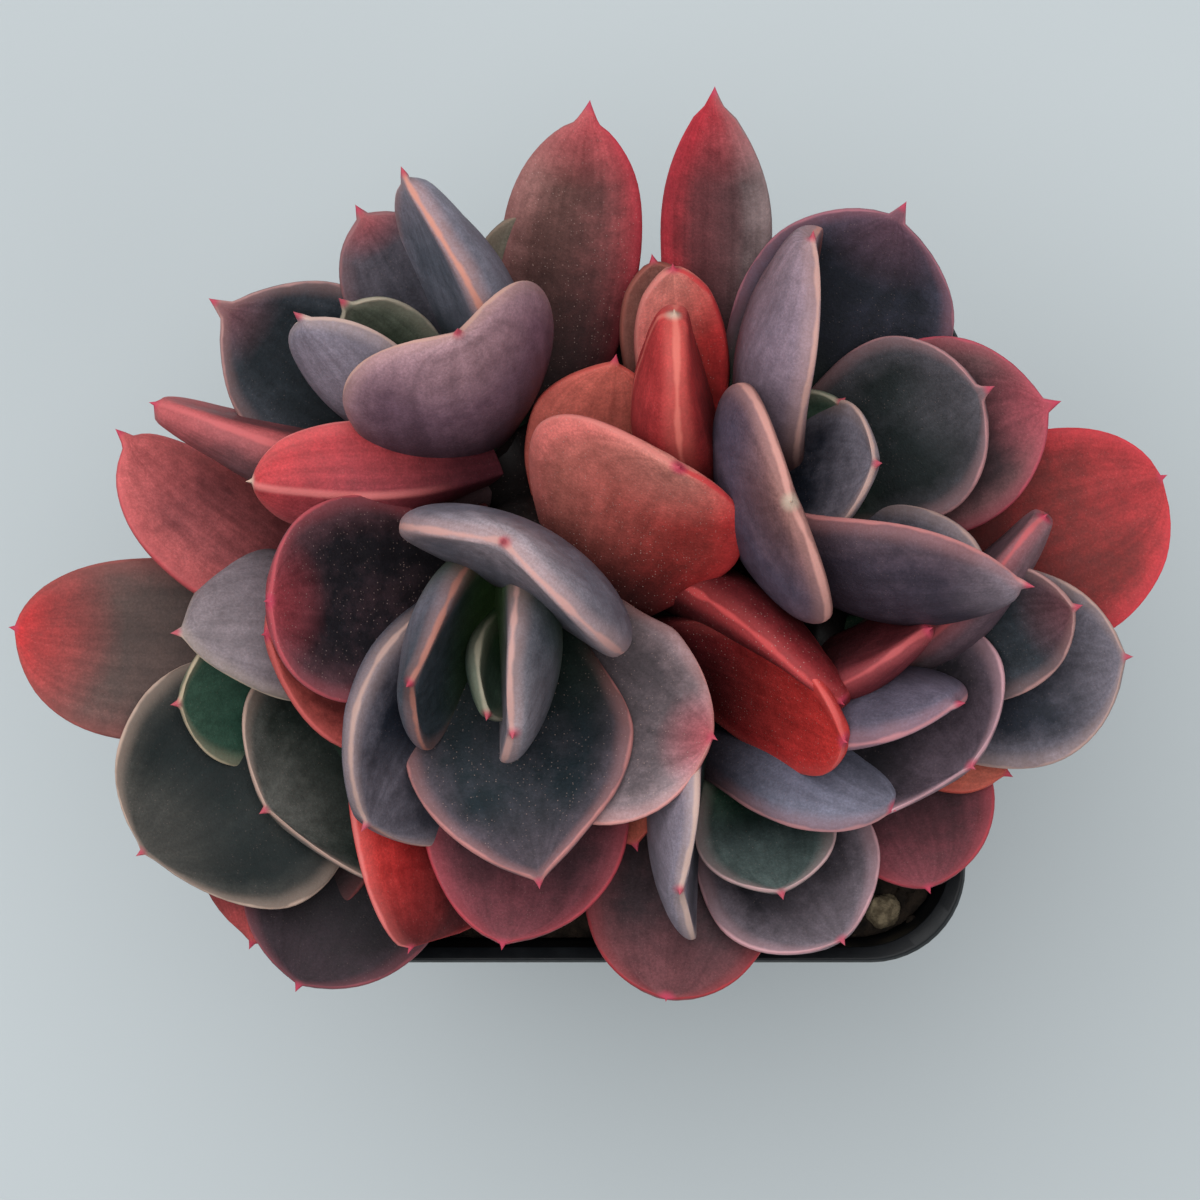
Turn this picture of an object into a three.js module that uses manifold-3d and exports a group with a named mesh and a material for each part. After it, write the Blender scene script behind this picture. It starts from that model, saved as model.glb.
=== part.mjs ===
// A potted blue metal echeveria: a clump of six rosettes in a square plastic nursery pot.
// Millimetres, +Z up. The origin is the centre of the pot's underside, on the surface it stands on.
import * as THREE from "three";
import { mergeVertices } from "three/addons/utils/BufferGeometryUtils.js";
import Module from "manifold-3d";

const wasm = await Module();
wasm.setup();

// Driving dimensions of the pot
const rimSide = 80;
const potHeight = 80;
const baseSide = 58;
const wall = 0.8;
const lipWidth = 1;
const lipDrop = 5;
const edgeRound = 0.8;
const shoulderZ = 68;
const shoulderWidth = 2.4;
const rimCorner = 11;
const baseCorner = 6.5;
const footChamfer = 1.2;
const drainRadius = 3.5;
const drainSpread = 17;

// Driving dimensions of the soil, with lumps of two sizes, and of the grit on it
const clearance = 0.3;
const soilZ = 73;
const soilBump = 1.3;
const lumpSpan = { x: 11.4, y: 13.4 };
const moundShare = 0.6;
const moundSpan = { x: 27, y: 20 };
const gritSunk = 0.45;
const gritLength = 1.25;
const gritFlatness = 0.8;

// Driving dimensions of the stems and of the core that the leaves stand on
const rootZ = 52;
const stemRadius = 3.6;
const stemCurl = 10;
const coreRadius = 5.8;
const coreLength = 17;
const coreDrop = 9.5;
const footOut = 2.5;

// Shape of a leaf: shares of its length, width or thickness, and lengths in millimetres
const leafThickness = 5;
const upperShare = 0.25;
const footShare = 0.42;
const widestAt = 0.62;
const spreadPower = 1.3;
const closePower = 2.2;
const footThickness = 0.8;
const fullThicknessAt = 0.4;
const tipThinning = 0.5;
const upperRoundness = 0.6;
const lowerRoundness = 0.85;
const keelSharpness = 1.2;
const footCup = 0.4;
const flattest = 1e-3;
const spikeLength = 1.2;
const spikeHalfWidth = 0.9;
const spikeHalfDepth = 0.6;
const leafStations = [0, 0.2, 0.4, 0.6, 0.78, 0.91, 0.98];
const leafSides = 8;

// A closed surface through rings of equally many points, closed at both ends by one point.
function skin(first, rings, last) {
  const points = [first, ...rings.flat(), last];
  const around = rings[0].length;
  const end = points.length - 1;
  const faces = [];
  for (let j = 0; j < around; j++) {
    const next = (j + 1) % around;
    faces.push(0, 1 + next, 1 + j);
    for (let k = 0; k < rings.length - 1; k++) {
      const low = 1 + k * around;
      const high = low + around;
      faces.push(low + j, low + next, high + next);
      faces.push(low + j, high + next, high + j);
    }
    const top = end - around;
    faces.push(top + j, top + next, end);
  }
  const geometry = new THREE.BufferGeometry().setFromPoints(points);
  geometry.setIndex(faces);
  return geometry;
}

// A closed geometry as a solid that can be joined and cut.
function solid(geometry) {
  const bare = new THREE.BufferGeometry();
  bare.setAttribute("position", geometry.getAttribute("position"));
  bare.setIndex(geometry.index);
  const merged = mergeVertices(bare, 1e-4);
  return new wasm.Manifold(
    new wasm.Mesh({
      numProp: 3,
      vertProperties: merged.attributes.position.array,
      triVerts: new Uint32Array(merged.index.array),
    }),
  );
}

// A named mesh of a solid, with its own origin at a given place.
function meshOf(name, made, material, place = new THREE.Vector3()) {
  const { numProp, numVert, vertProperties, triVerts } = made.getMesh();
  const positions = new Float32Array(numVert * 3);
  for (let i = 0; i < numVert; i++)
    positions.set(vertProperties.subarray(i * numProp, i * numProp + 3), i * 3);
  const geometry = new THREE.BufferGeometry();
  geometry.setAttribute("position", new THREE.BufferAttribute(positions, 3));
  geometry.setIndex(new THREE.BufferAttribute(triVerts, 1));
  geometry.translate(-place.x, -place.y, -place.z);
  geometry.computeVertexNormals();
  const mesh = new THREE.Mesh(geometry, material);
  mesh.name = name;
  mesh.position.copy(place);
  return mesh;
}

const largestBody = (made) =>
  made.decompose().reduce((a, b) => (b.volume() > a.volume() ? b : a));

// A square ring with round corners, counter-clockwise from above.
function squareRing(side, corner, z, perCorner = 5) {
  const ring = [];
  for (const quarter of [0, 1, 2, 3])
    for (let k = 0; k < perCorner; k++) {
      const angle = (Math.PI / 2) * (quarter + k / (perCorner - 1));
      const middle = side / 2 - corner;
      const sx = quarter === 0 || quarter === 3 ? 1 : -1;
      const sy = quarter < 2 ? 1 : -1;
      ring.push(
        new THREE.Vector3(
          sx * middle + corner * Math.cos(angle),
          sy * middle + corner * Math.sin(angle),
          z,
        ),
      );
    }
  return ring;
}

// The pot's outer side length and corner radius at a height on its sloping wall.
const neckSide = rimSide - 2 * lipWidth;
const mouthSide = neckSide - 2 * wall;
const neckZ = shoulderZ + shoulderWidth;
const shoulderSide = neckSide - shoulderWidth;
const wallSide = (z) => THREE.MathUtils.lerp(baseSide, shoulderSide, z / shoulderZ);
const wallCorner = (z) => THREE.MathUtils.lerp(baseCorner, rimCorner - wall, z / shoulderZ);

function makePot() {
  const lipZ = potHeight - lipDrop;
  const innerRing = (z) => squareRing(wallSide(z) - 2 * wall, wallCorner(z) - wall, z);
  const rings = [
    squareRing(baseSide - 2 * footChamfer, baseCorner - footChamfer, 0),
    squareRing(wallSide(footChamfer), wallCorner(footChamfer), footChamfer),
    squareRing(shoulderSide, wallCorner(shoulderZ), shoulderZ),
    squareRing(neckSide, rimCorner - wall, neckZ),
    squareRing(neckSide, rimCorner - wall, lipZ),
    squareRing(rimSide - edgeRound, rimCorner - edgeRound / 2, lipZ),
    squareRing(rimSide, rimCorner, lipZ + edgeRound),
    squareRing(rimSide, rimCorner, potHeight - edgeRound),
    squareRing(rimSide - edgeRound, rimCorner - edgeRound / 2, potHeight),
    squareRing(neckSide + edgeRound, rimCorner - wall, potHeight),
    squareRing(mouthSide, rimCorner - 2 * wall, potHeight - edgeRound),
    squareRing(mouthSide, rimCorner - 2 * wall, neckZ),
    innerRing(shoulderZ),
    innerRing(2 * wall),
  ];
  let pot = solid(
    skin(new THREE.Vector3(0, 0, 0), rings, new THREE.Vector3(0, 0, 2 * wall)),
  );
  for (const sx of [-1, 1])
    for (const sy of [-1, 1]) {
      const hole = new THREE.CylinderGeometry(drainRadius, drainRadius, 6 * wall, 16);
      hole.rotateX(Math.PI / 2);
      hole.translate(sx * drainSpread, sy * drainSpread, 0);
      pot = pot.subtract(solid(hole));
    }
  return pot;
}

// Height of the crumbly soil surface, which levels out towards the pot's wall.
function soilHeight(x, y) {
  const turn = 2 * Math.PI;
  const edge = Math.max(Math.abs(x), Math.abs(y)) / (mouthSide / 2);
  const lumps = Math.sin((turn * x) / lumpSpan.x + 1) * Math.cos((turn * y) / lumpSpan.y);
  const mounds = Math.sin((turn * x) / moundSpan.x - (turn * y) / moundSpan.y);
  return soilZ + soilBump * (lumps + moundShare * mounds) * (1 - edge ** 4);
}

function makeSoil() {
  const bottom = 2 * wall + clearance;
  const inset = wall + clearance;
  const ringAt = (z) => squareRing(wallSide(z) - 2 * inset, wallCorner(z) - inset, z);
  const topSide = mouthSide - 2 * clearance;
  const topCorner = rimCorner - 2 * wall - clearance;
  const rings = [ringAt(bottom), ringAt(shoulderZ)];
  rings.push(squareRing(topSide, topCorner, neckZ + clearance));
  for (const share of [1, 0.88, 0.74, 0.6, 0.45, 0.3, 0.15]) {
    const side = share * topSide;
    const corner = share * topCorner;
    const ring = squareRing(side, corner, 0);
    rings.push(ring.map((p) => p.setZ(soilHeight(p.x, p.y))));
  }
  const middle = new THREE.Vector3(0, 0, soilHeight(0, 0));
  return solid(skin(new THREE.Vector3(0, 0, bottom), rings, middle));
}

// An angular grit stone, partly sunk in the soil, a little longer than wide.
function gritGeometry(stone, swell = 0) {
  const geometry = new THREE.IcosahedronGeometry(1, 0);
  const half = stone.size / 2;
  geometry.scale(half * gritLength + swell, half + swell, half * gritFlatness + swell);
  geometry.rotateZ(stone.turn);
  const [x, y] = stone.at;
  const lift = half * gritFlatness * (1 - 2 * gritSunk);
  geometry.translate(x, y, soilHeight(x, y) + lift);
  return geometry;
}

const vector = (list) => new THREE.Vector3(...list);

// The part of a direction that is square to another, at unit length.
function squareTo(direction, along) {
  const across = direction.clone().addScaledVector(along, -direction.dot(along));
  return across.normalize();
}

// The leaf's width at a share of its length, both from 0 to 1. A large taper makes a pointed end.
function outline(s, taper, widest) {
  if (s < widest) {
    const rise = Math.sin((Math.PI / 2) * (s / widest)) ** spreadPower;
    return footShare + (1 - footShare) * rise;
  }
  return (1 - ((s - widest) / (1 - widest)) ** closePower) ** taper;
}

function thicknessShare(s) {
  const middle = Math.sin((Math.PI / 2) * Math.min(2, s / fullThicknessAt));
  return footThickness + (1 - footThickness) * middle - tipThinning * s ** 4;
}

// Where a leaf leaves its stem: below the crown by its drop, on the side of its tip.
function leafFoot(head, leaf) {
  if (leaf.foot) return vector(leaf.foot);
  const axis = vector(head.axis).normalize();
  const crown = vector(head.crown);
  const side = squareTo(vector(leaf.tip).sub(crown), axis);
  return crown.addScaledVector(axis, -leaf.drop).addScaledVector(side, footOut);
}

// One thick leaf. Its face is the way its upper side looks, cup bends its margins towards
// that side, bow sags its middle away from it, sway bends it sideways and lop makes one of its
// sides the wider. upper is the share of its thickness above its margins, keel makes a ridge of
// its underside, and spike is the length of its point. swell thickens it all round.
function leafGeometry(head, leaf, swell = 0) {
  const { width, cup = 0.4, bow = 0.06, sway = 0, lop = 0, keel = 0 } = leaf;
  const { taper = 0.55, widest = widestAt, spike = spikeLength } = leaf;
  const { thick = leafThickness, upper: above = upperShare } = leaf;
  const foot = leafFoot(head, leaf);
  const chord = vector(leaf.tip).sub(foot);
  const length = chord.length() - spike;
  const along = chord.clone().normalize();
  const face = squareTo(vector(leaf.face), along);
  const side = new THREE.Vector3().crossVectors(along, face);

  const midline = (s) =>
    foot
      .clone()
      .addScaledVector(along, s * length)
      .addScaledVector(face, -4 * bow * length * s * (1 - s))
      .addScaledVector(side, 4 * sway * length * s * (1 - s));
  const ringAt = (s, halfWidth, upper, lower) => {
    const tangent = along
      .clone()
      .addScaledVector(face, -4 * bow * (1 - 2 * s))
      .addScaledVector(side, 4 * sway * (1 - 2 * s))
      .normalize();
    const up = squareTo(face, tangent);
    const across = new THREE.Vector3().crossVectors(tangent, up);
    const centre = midline(s).addScaledVector(across, lop * halfWidth * s);
    const curl = Math.abs(cup) * (footCup + (1 - footCup) * s);
    const bend = Math.max(flattest, curl) * Math.sign(cup || 1);
    const ring = [];
    for (let j = 0; j < leafSides; j++) {
      const turn = (2 * Math.PI * j) / leafSides;
      const angle = bend * Math.cos(turn);
      const rise = Math.sin(turn);
      const round = Math.max(0, -rise) ** lowerRoundness;
      const ridge = (1 - Math.abs(Math.cos(turn))) ** keelSharpness;
      const height =
        rise > 0 ? upper * rise ** upperRoundness : -lower * (round + (ridge - round) * keel);
      const x = (halfWidth / bend - height) * Math.sin(angle);
      const z = (halfWidth / bend) * (1 - Math.cos(angle)) + height * Math.cos(angle);
      ring.push(centre.clone().addScaledVector(across, -x).addScaledVector(up, z));
    }
    return ring;
  };

  const rings = leafStations.map((s) =>
    ringAt(
      s,
      (width / 2) * outline(s, taper, widest) + swell,
      above * thick * thicknessShare(s) + swell,
      (1 - above) * thick * thicknessShare(s) + swell,
    ),
  );
  const spikeDepth = spikeHalfDepth + swell;
  rings.push(ringAt(1, spikeHalfWidth + swell, spikeDepth, spikeDepth));
  const behind = midline(0).addScaledVector(along, -swell);
  const point = midline(1).addScaledVector(along, spike + swell);
  return skin(behind, rings, point);
}

// The way a head's stem runs, from its root in the soil up into its crown.
function stemCurve(head, swell) {
  const crown = vector(head.crown);
  const axis = vector(head.axis).normalize();
  return new THREE.QuadraticBezierCurve3(
    vector([...head.root, rootZ - swell]),
    crown.clone().addScaledVector(axis, -stemCurl),
    crown,
  );
}

function stemGeometry(head, swell = 0) {
  const section = new THREE.Shape();
  section.absarc(0, 0, stemRadius + swell, 0, 2 * Math.PI);
  return new THREE.ExtrudeGeometry(section, {
    extrudePath: stemCurve(head, swell),
    steps: 8,
    curveSegments: 4,
    bevelEnabled: false,
  });
}

// The top of the stem that the leaves stand on, stretched along the head's axis.
function coreGeometry(head, swell = 0) {
  const axis = vector(head.axis).normalize();
  const geometry = new THREE.IcosahedronGeometry(1, 1);
  geometry.scale(coreRadius + swell, coreRadius + swell, coreLength / 2 + swell);
  const turn = new THREE.Quaternion().setFromUnitVectors(new THREE.Vector3(0, 0, 1), axis);
  geometry.applyQuaternion(turn);
  geometry.translate(...vector(head.crown).addScaledVector(axis, -coreDrop));
  return geometry;
}

// A rosette: stem, core and leaves in one solid, so that each leaf grows from the stem.
function makeHead(head, swell = 0) {
  let made = solid(stemGeometry(head, swell)).add(solid(coreGeometry(head, swell)));
  for (const leaf of head.leaves)
    made = made.add(solid(leafGeometry(head, leaf, swell)));
  return made;
}

const leaf = (tip, width, face, shape = {}) => ({ tip, width, face, ...shape });

// The rosettes. Each head has its crown (where its leaves meet), its axis (the way it looks)
// and its root in the soil. A leaf has the place of its tip, its width, the way its face
// looks and either how far it leaves the stem below the crown or the place of its foot.
const heads = {
  front: {
    crown: [-11.5, 3, 98],
    axis: [-0.1, -0.55, 0.83],
    root: [-7, 5],
    leaves: [
      // the closed heart
      leaf([-14.8, -10.3, 109], 8, [0.8, 0.1, 0.5], { drop: 0, thick: 3.5 }),
      leaf([-11.8, -11.9, 116], 20, [-0.97, 0.1, 0],
        { foot: [-13.2, 4.5, 98], cup: 0.3, thick: 6.5, upper: 0.3, taper: 0.45 }),
      leaf([-22.9, -6.6, 114], 20, [0.8, -0.4, 0.4],
        { foot: [-13.8, 4.5, 97], lop: -0.4, thick: 6, upper: 0.3, taper: 0.4 }),
      leaf([-12.5, 8.4, 124], 28, [-0.5, -0.85, 0.12],
        { foot: [-11, 5, 92], cup: 0.6, bow: 0, sway: 0.05, thick: 8, upper: 0.4 }),
      // the dark open leaves
      leaf([-28.4, -22.4, 105], 26, [0.75, -0.15, 0.62], { drop: 2, cup: 0.3, lop: -0.2, thick: 7.5 }),
      leaf([-9.2, -28.2, 108], 25, [-0.05, -0.05, 1],
        { drop: 1, sway: 0.05, taper: 0.95, widest: 0.48 }),
      leaf([9.9, -12.7, 103], 24, [0.2, 0.1, 1],
        { drop: 6, cup: -0.1, sway: 0.16, lop: 0.25, spike: 0.9 }),
      leaf([-37.8, 2.3, 113], 22, [0.1, 0, 1],
        { drop: 4, cup: 0.2, sway: -0.04, taper: 0.38, spike: 0.8 }),
      // the older leaves
      leaf([-39, -1.3, 106], 26, [0.1, 0, 1],
        { drop: 10, cup: 0.2, sway: -0.06, lop: -0.25, spike: 0.8 }),
      leaf([-24, -36.6, 97], 25, [0.5, -0.1, 0.85],
        { drop: 9, cup: 0.3, sway: 0.12, lop: -0.6, taper: 0.4, spike: 0.8 }),
      leaf([-13.5, -35.7, 100.5], 23, [0, -0.1, 1], { drop: 8, cup: 0.3, lop: -0.2, spike: 1 }),
      leaf([1.4, -25.6, 94], 12, [0.1, 0, 1], { drop: 13, thick: 3.5 }),
      leaf([5.6, 16.5, 112], 26, [-0.3, -0.62, 0.72],
        { foot: [-4, 2, 91], cup: -0.35, lop: -0.25, spike: 0.6 }),
      leaf([-1, 29.5, 98], 16, [0.2, -0.3, 1], { foot: [-5.5, 7, 88], cup: -0.15, taper: 0.85 }),
      leaf([23.6, -8.9, 103], 15, [-0.5, -0.75, 0.1],
        { foot: [2.5, 5, 87], thick: 7.5, upper: 0.4, taper: 0.4, spike: 0.6 }),
      leaf([23.8, -12.9, 104.5], 17, [-0.42, -0.55, 0.72],
        { foot: [2.5, -3, 87], cup: 0.25, thick: 5, taper: 0.48, spike: 0.6 }),
    ],
  },
  upper_left: {
    crown: [-16.5, 22, 92],
    axis: [-0.42, 0.5, 0.75],
    root: [-11, 16],
    leaves: [
      leaf([-30.8, 34.8, 105], 10, [0.2, -0.3, 0.9], { drop: 0, thick: 3, spike: 1.8 }),
      leaf([-35.3, 33, 108], 15, [0.1, 0.95, -0.2], { drop: 1, thick: 5.5, spike: 1.8 }),
      leaf([-23.9, 48.4, 108], 19, [-0.88, -0.38, 0.32],
        { drop: 2, cup: 0.45, thick: 7.5, upper: 0.3, taper: 0.8, widest: 0.52, spike: 2 }),
      leaf([-17.5, 30.5, 115], 27, [-0.5, 0.75, -0.35],
        { foot: [-18.5, 20, 88], cup: 0.9, taper: 0.4, widest: 0.7 }),
      leaf([-45.8, 35.6, 98], 20, [0.1, -0.1, 1],
        { foot: [-18, 17, 88], cup: 0.3, taper: 0.8, spike: 2.4 }),
      leaf([-29.7, 45.9, 98], 14, [0.1, -0.1, 1], { drop: 5, cup: 0.3, spike: 1.8 }),
      leaf([-52, 24, 100], 16, [-0.1, 0.9, 0.25],
        { foot: [-16, 17, 87], thick: 8.5, upper: 0.35, spike: 1 }),
      leaf([-41, 15.2, 103.5], 13, [0, 0.45, -0.9],
        { foot: [-16, 18, 93], bow: 0.08, thick: 6.5, keel: 0.6, spike: 0.8 }),
      leaf([-3.9, 57.6, 97], 16, [0.05, -0.1, 1],
        { foot: [-9, 19, 84], cup: -0.35, taper: 0.65, spike: 2.6 }),
      leaf([-11.5, 47, 91], 13, [0, 0, 1], { foot: [-11, 19, 82] }),
      // under and behind the others
      leaf([-21, 27, 105], 8, [-0.4, 0.3, -0.5], { drop: 0, thick: 3 }),
      leaf([-26.5, 28, 102], 8, [0.7, 0.2, 0.5], { drop: 0, thick: 3 }),
      leaf([-36, 36, 87.5], 14, [0, 0, 1], { foot: [-15, 20, 84] }),
    ],
  },
  upper_right: {
    crown: [16.5, 19, 94],
    axis: [0.5, 0.25, 0.8],
    root: [9, 14],
    leaves: [
      leaf([23.7, 24.3, 103], 9, [-0.3, -0.2, 0.9], { foot: [15, 16, 91], thick: 3 }),
      leaf([27, 16.9, 109], 16, [-0.4, 0.2, 0.9], { foot: [13, 16, 92], thick: 3.5 }),
      leaf([16.8, 12.5, 118], 27, [0.88, 0.3, 0.35],
        { foot: [14.5, 13, 89], cup: 0.2, bow: 0.02, thick: 7.5, upper: 0.4, spike: 0.6 }),
      leaf([19.8, 41.6, 108], 25, [0.93, -0.2, -0.05], { foot: [19.5, 18, 90], thick: 8, upper: 0.22 }),
      leaf([40.1, 25.7, 101], 21, [-0.15, 0, 1], { foot: [17, 15, 91], cup: 0.25, spike: 1.8 }),
      leaf([42.6, 3.8, 112], 21, [0.1, 0.85, -0.4],
        { foot: [14, 12.5, 93], cup: 0.6, bow: 0.12, taper: 0.7, spike: 1.8 }),
      leaf([40, 4.5, 102], 12, [0, 0, 1], { foot: [15, 11, 89] }),
      leaf([31, 46.4, 97], 24, [-0.1, -0.2, 1],
        { drop: 6, cup: 0.25, lop: 0.16, taper: 0.6, spike: 2.2 }),
      leaf([47.9, 24.3, 98], 22, [0, 0, 1],
        { foot: [17, 13, 88], cup: 0.25, bow: 0.03, lop: -0.14, taper: 0.65, spike: 1.8 }),
      leaf([5, 33.2, 109], 16, [0.95, 0.1, 0.1],
        { foot: [9, 13, 92], cup: 0.15, thick: 9.5, upper: 0.45, spike: 0.8 }),
      leaf([5.1, 39.2, 100], 10, [0, 0, 1], { foot: [8.5, 14, 84], spike: 0.8 }),
      leaf([3, 41.3, 92], 11, [0, 0, 1], { foot: [9, 14, 82] }),
      leaf([9.9, 59.3, 96], 13, [-0.3, 0, 1],
        { foot: [9, 18, 82], cup: -0.3, taper: 0.75, spike: 2.2 }),
      // under and behind the others
      leaf([33, 36, 87.5], 14, [0, 0, 1], { foot: [13, 18, 84] }),
    ],
  },
  lower_right: {
    crown: [13, -12, 86],
    axis: [0.15, -0.7, 0.7],
    root: [9, -10],
    leaves: [
      leaf([17.4, -30.6, 97], 16, [0, 0.3, 0.95], { drop: 0, thick: 3 }),
      leaf([5.8, -29.4, 103], 24, [0.97, -0.07, 0.1],
        { foot: [9, -15, 82], thick: 6, upper: 0.35, taper: 0.38, widest: 0.7 }),
      leaf([30, -20.9, 96], 17, [0.1, -0.85, -0.5],
        { foot: [9, -15, 82], cup: 0.2, thick: 5.5, spike: 0.6 }),
      leaf([24.6, -36.2, 93], 21, [0, 0, 1], { drop: 3, cup: 0.3, sway: 0.04, lop: 0.15, spike: 0.8 }),
      leaf([4.6, -42.8, 91], 22.5, [0, 0, 1], { drop: 8, cup: 0.2, spike: 0.5, taper: 0.48 }),
    ],
  },
  right: {
    crown: [24, -2, 90],
    axis: [0.75, -0.05, 0.66],
    root: [17, -1],
    leaves: [
      leaf([49.7, 1.9, 101], 16, [-0.3, -0.2, 0.9], { foot: [24, -6, 88], thick: 3.5 }),
      leaf([46.2, 11.9, 99], 15, [-0.6, 0.78, 0.1],
        { foot: [24, -5, 85], bow: 0.11, thick: 7.5, upper: 0.45, spike: 0.6, taper: 0.4 }),
      leaf([36.5, -8.6, 104], 18, [0.15, -0.95, -0.3],
        { foot: [20, -12.5, 87], thick: 6.5, upper: 0.35, spike: 1.8 }),
      leaf([56, -3.8, 97], 23, [0, 0, 1], { drop: 4, cup: 0.25, sway: 0.03, lop: 0.15 }),
      leaf([38.5, -16.2, 98], 26, [-0.25, 0.1, 1],
        { drop: 2, cup: 0.3, sway: -0.06, lop: 0.2, spike: 0.8 }),
      leaf([33, -0.5, 104], 14, [-0.6, 0.75, 0.15],
        { foot: [18, -6, 89], thick: 6, upper: 0.4, spike: 0.8 }),
      leaf([61.3, 16.6, 90], 25, [0, 0, 1],
        { foot: [22, 1, 84], cup: 0.2, bow: 0.02, lop: 0.2, taper: 0.48, spike: 0.8 }),
      leaf([34.8, -31, 88], 20, [0, 0, 1],
        { foot: [21, -5, 80], cup: 0.25, sway: -0.07, lop: -0.15, spike: 0.9 }),
      leaf([44.2, -17.7, 88], 12, [0, 0, 1], { foot: [22, -5, 82], bow: 0 }),
    ],
  },
  left: {
    crown: [-28.5, -7.5, 86],
    axis: [-0.72, -0.3, 0.62],
    root: [-17, -5],
    leaves: [
      leaf([-50.5, -9.2, 95], 18, [0.3, -0.3, 0.9], { drop: 1, thick: 3.5 }),
      leaf([-50, -1.2, 98], 19, [-0.35, -0.5, -0.75],
        { foot: [-27, -3.5, 88], cup: 0.5, lop: -0.45, taper: 0.7, widest: 0.5, spike: 1.4 }),
      leaf([-40.8, -21.4, 94], 29, [0.4, 0.4, 0.8], { foot: [-26, -9, 83], lop: -0.3, thick: 4 }),
      leaf([-54.7, -26.2, 93], 30, [0.1, 0.15, 1],
        { foot: [-27, -8, 85], cup: 0.3, bow: 0.03, sway: 0.04, lop: -0.1 }),
      leaf([-69.4, -0.6, 91], 21, [0, 0, 1],
        { foot: [-28, -4, 84], cup: 0.15, bow: 0, lop: -0.2, spike: 0.8 }),
      leaf([-57, 21.6, 93], 17, [0.4, 0.5, 0.75],
        { foot: [-27, -3, 85], cup: -0.2, bow: 0.02, lop: -0.25, spike: 2 }),
      leaf([-37.1, -41.7, 91], 24, [0, 0, 1], { drop: 8, cup: 0.25 }),
      leaf([-43, -37.6, 86], 20, [0, 0, 1], { foot: [-26, -7, 81], bow: -0.02, lop: 0.3, thick: 4 }),
      leaf([-53.5, 10, 87], 13, [0, 0, 1], { foot: [-27, -3, 80.5], bow: -0.02, thick: 4 }),
    ],
  },
};

// The pale stones that lie on the soil, most of them along the open edges of the pot.
const grit = {
  corner_a: { at: [31, -34.6], size: 4.4, turn: 0.4 },
  corner_b: { at: [27, -34.8], size: 3, turn: 2.1 },
  corner_c: { at: [32.5, -23.5], size: 2.4, turn: 1.2 },
  corner_d: { at: [21.5, -32.5], size: 2.6, turn: 0.1 },
  edge_a: { at: [-14.5, -32.5], size: 3.4, turn: 2.6 },
  edge_b: { at: [-20, -31], size: 2.4, turn: 0.9 },
  edge_c: { at: [2, -32], size: 2.8, turn: 1.7 },
  back_a: { at: [-30, 30], size: 3, turn: 0.7 },
  back_b: { at: [29, 31], size: 2.6, turn: 2.3 },
  side_a: { at: [-32, 12], size: 2.8, turn: 1.4 },
};

const leafMaterial = new THREE.MeshStandardMaterial({
  color: 0x4c4550,
  roughness: 0.5,
  metalness: 0,
});
const potMaterial = new THREE.MeshStandardMaterial({
  color: 0x14181a,
  roughness: 0.55,
  metalness: 0,
});
const soilMaterial = new THREE.MeshStandardMaterial({
  color: 0x2a211b,
  roughness: 0.95,
  metalness: 0,
});
const gritMaterial = new THREE.MeshStandardMaterial({
  color: 0xb9ab94,
  roughness: 0.9,
  metalness: 0,
});

const plant = new THREE.Group();
plant.add(meshOf("pot", makePot(), potMaterial));

// Each later head is cut clear of the earlier ones, and each stem stands in a hole in the soil.
let soil = makeSoil();
let taken = null;
for (const [name, head] of Object.entries(heads)) {
  soil = soil.subtract(solid(stemGeometry(head, clearance)));
  const made = makeHead(head);
  const clear = largestBody(taken ? made.subtract(taken) : made);
  plant.add(meshOf(`rosette_${name}`, clear, leafMaterial, vector(head.crown)));
  const grown = makeHead(head, clearance);
  taken = taken ? taken.add(grown) : grown;
}

for (const [name, stone] of Object.entries(grit)) {
  soil = soil.subtract(solid(gritGeometry(stone, clearance)));
  const [x, y] = stone.at;
  const place = new THREE.Vector3(x, y, soilHeight(x, y));
  plant.add(meshOf(`grit_${name}`, solid(gritGeometry(stone)), gritMaterial, place));
}
plant.add(meshOf("soil", largestBody(soil), soilMaterial));

export default plant;
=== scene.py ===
import math
import random

import bmesh
import bpy
from mathutils import Matrix, Vector, noise


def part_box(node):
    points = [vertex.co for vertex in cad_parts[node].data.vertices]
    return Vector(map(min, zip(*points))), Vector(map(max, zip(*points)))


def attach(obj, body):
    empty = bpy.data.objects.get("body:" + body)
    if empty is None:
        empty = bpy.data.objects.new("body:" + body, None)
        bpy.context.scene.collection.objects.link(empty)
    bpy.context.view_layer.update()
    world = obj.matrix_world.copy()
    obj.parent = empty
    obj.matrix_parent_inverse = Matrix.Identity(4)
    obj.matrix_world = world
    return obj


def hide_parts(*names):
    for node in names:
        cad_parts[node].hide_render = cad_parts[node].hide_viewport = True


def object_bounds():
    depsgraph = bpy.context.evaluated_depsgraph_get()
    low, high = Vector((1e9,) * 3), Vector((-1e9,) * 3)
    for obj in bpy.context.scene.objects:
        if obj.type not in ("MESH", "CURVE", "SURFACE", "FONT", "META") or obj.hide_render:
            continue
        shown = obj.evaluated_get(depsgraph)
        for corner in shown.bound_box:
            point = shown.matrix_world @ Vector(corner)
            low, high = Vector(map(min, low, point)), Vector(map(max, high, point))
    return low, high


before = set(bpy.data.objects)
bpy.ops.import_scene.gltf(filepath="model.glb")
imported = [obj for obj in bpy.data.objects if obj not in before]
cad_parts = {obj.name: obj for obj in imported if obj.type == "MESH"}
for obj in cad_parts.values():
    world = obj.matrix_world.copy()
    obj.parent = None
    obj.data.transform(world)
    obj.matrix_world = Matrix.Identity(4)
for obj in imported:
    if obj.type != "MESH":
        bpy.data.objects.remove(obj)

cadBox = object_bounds()  # the construction's box, before anything is dressed
mm = 0.001
print("frame loaded, nodes:", len(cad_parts))


# Small helpers

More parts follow.
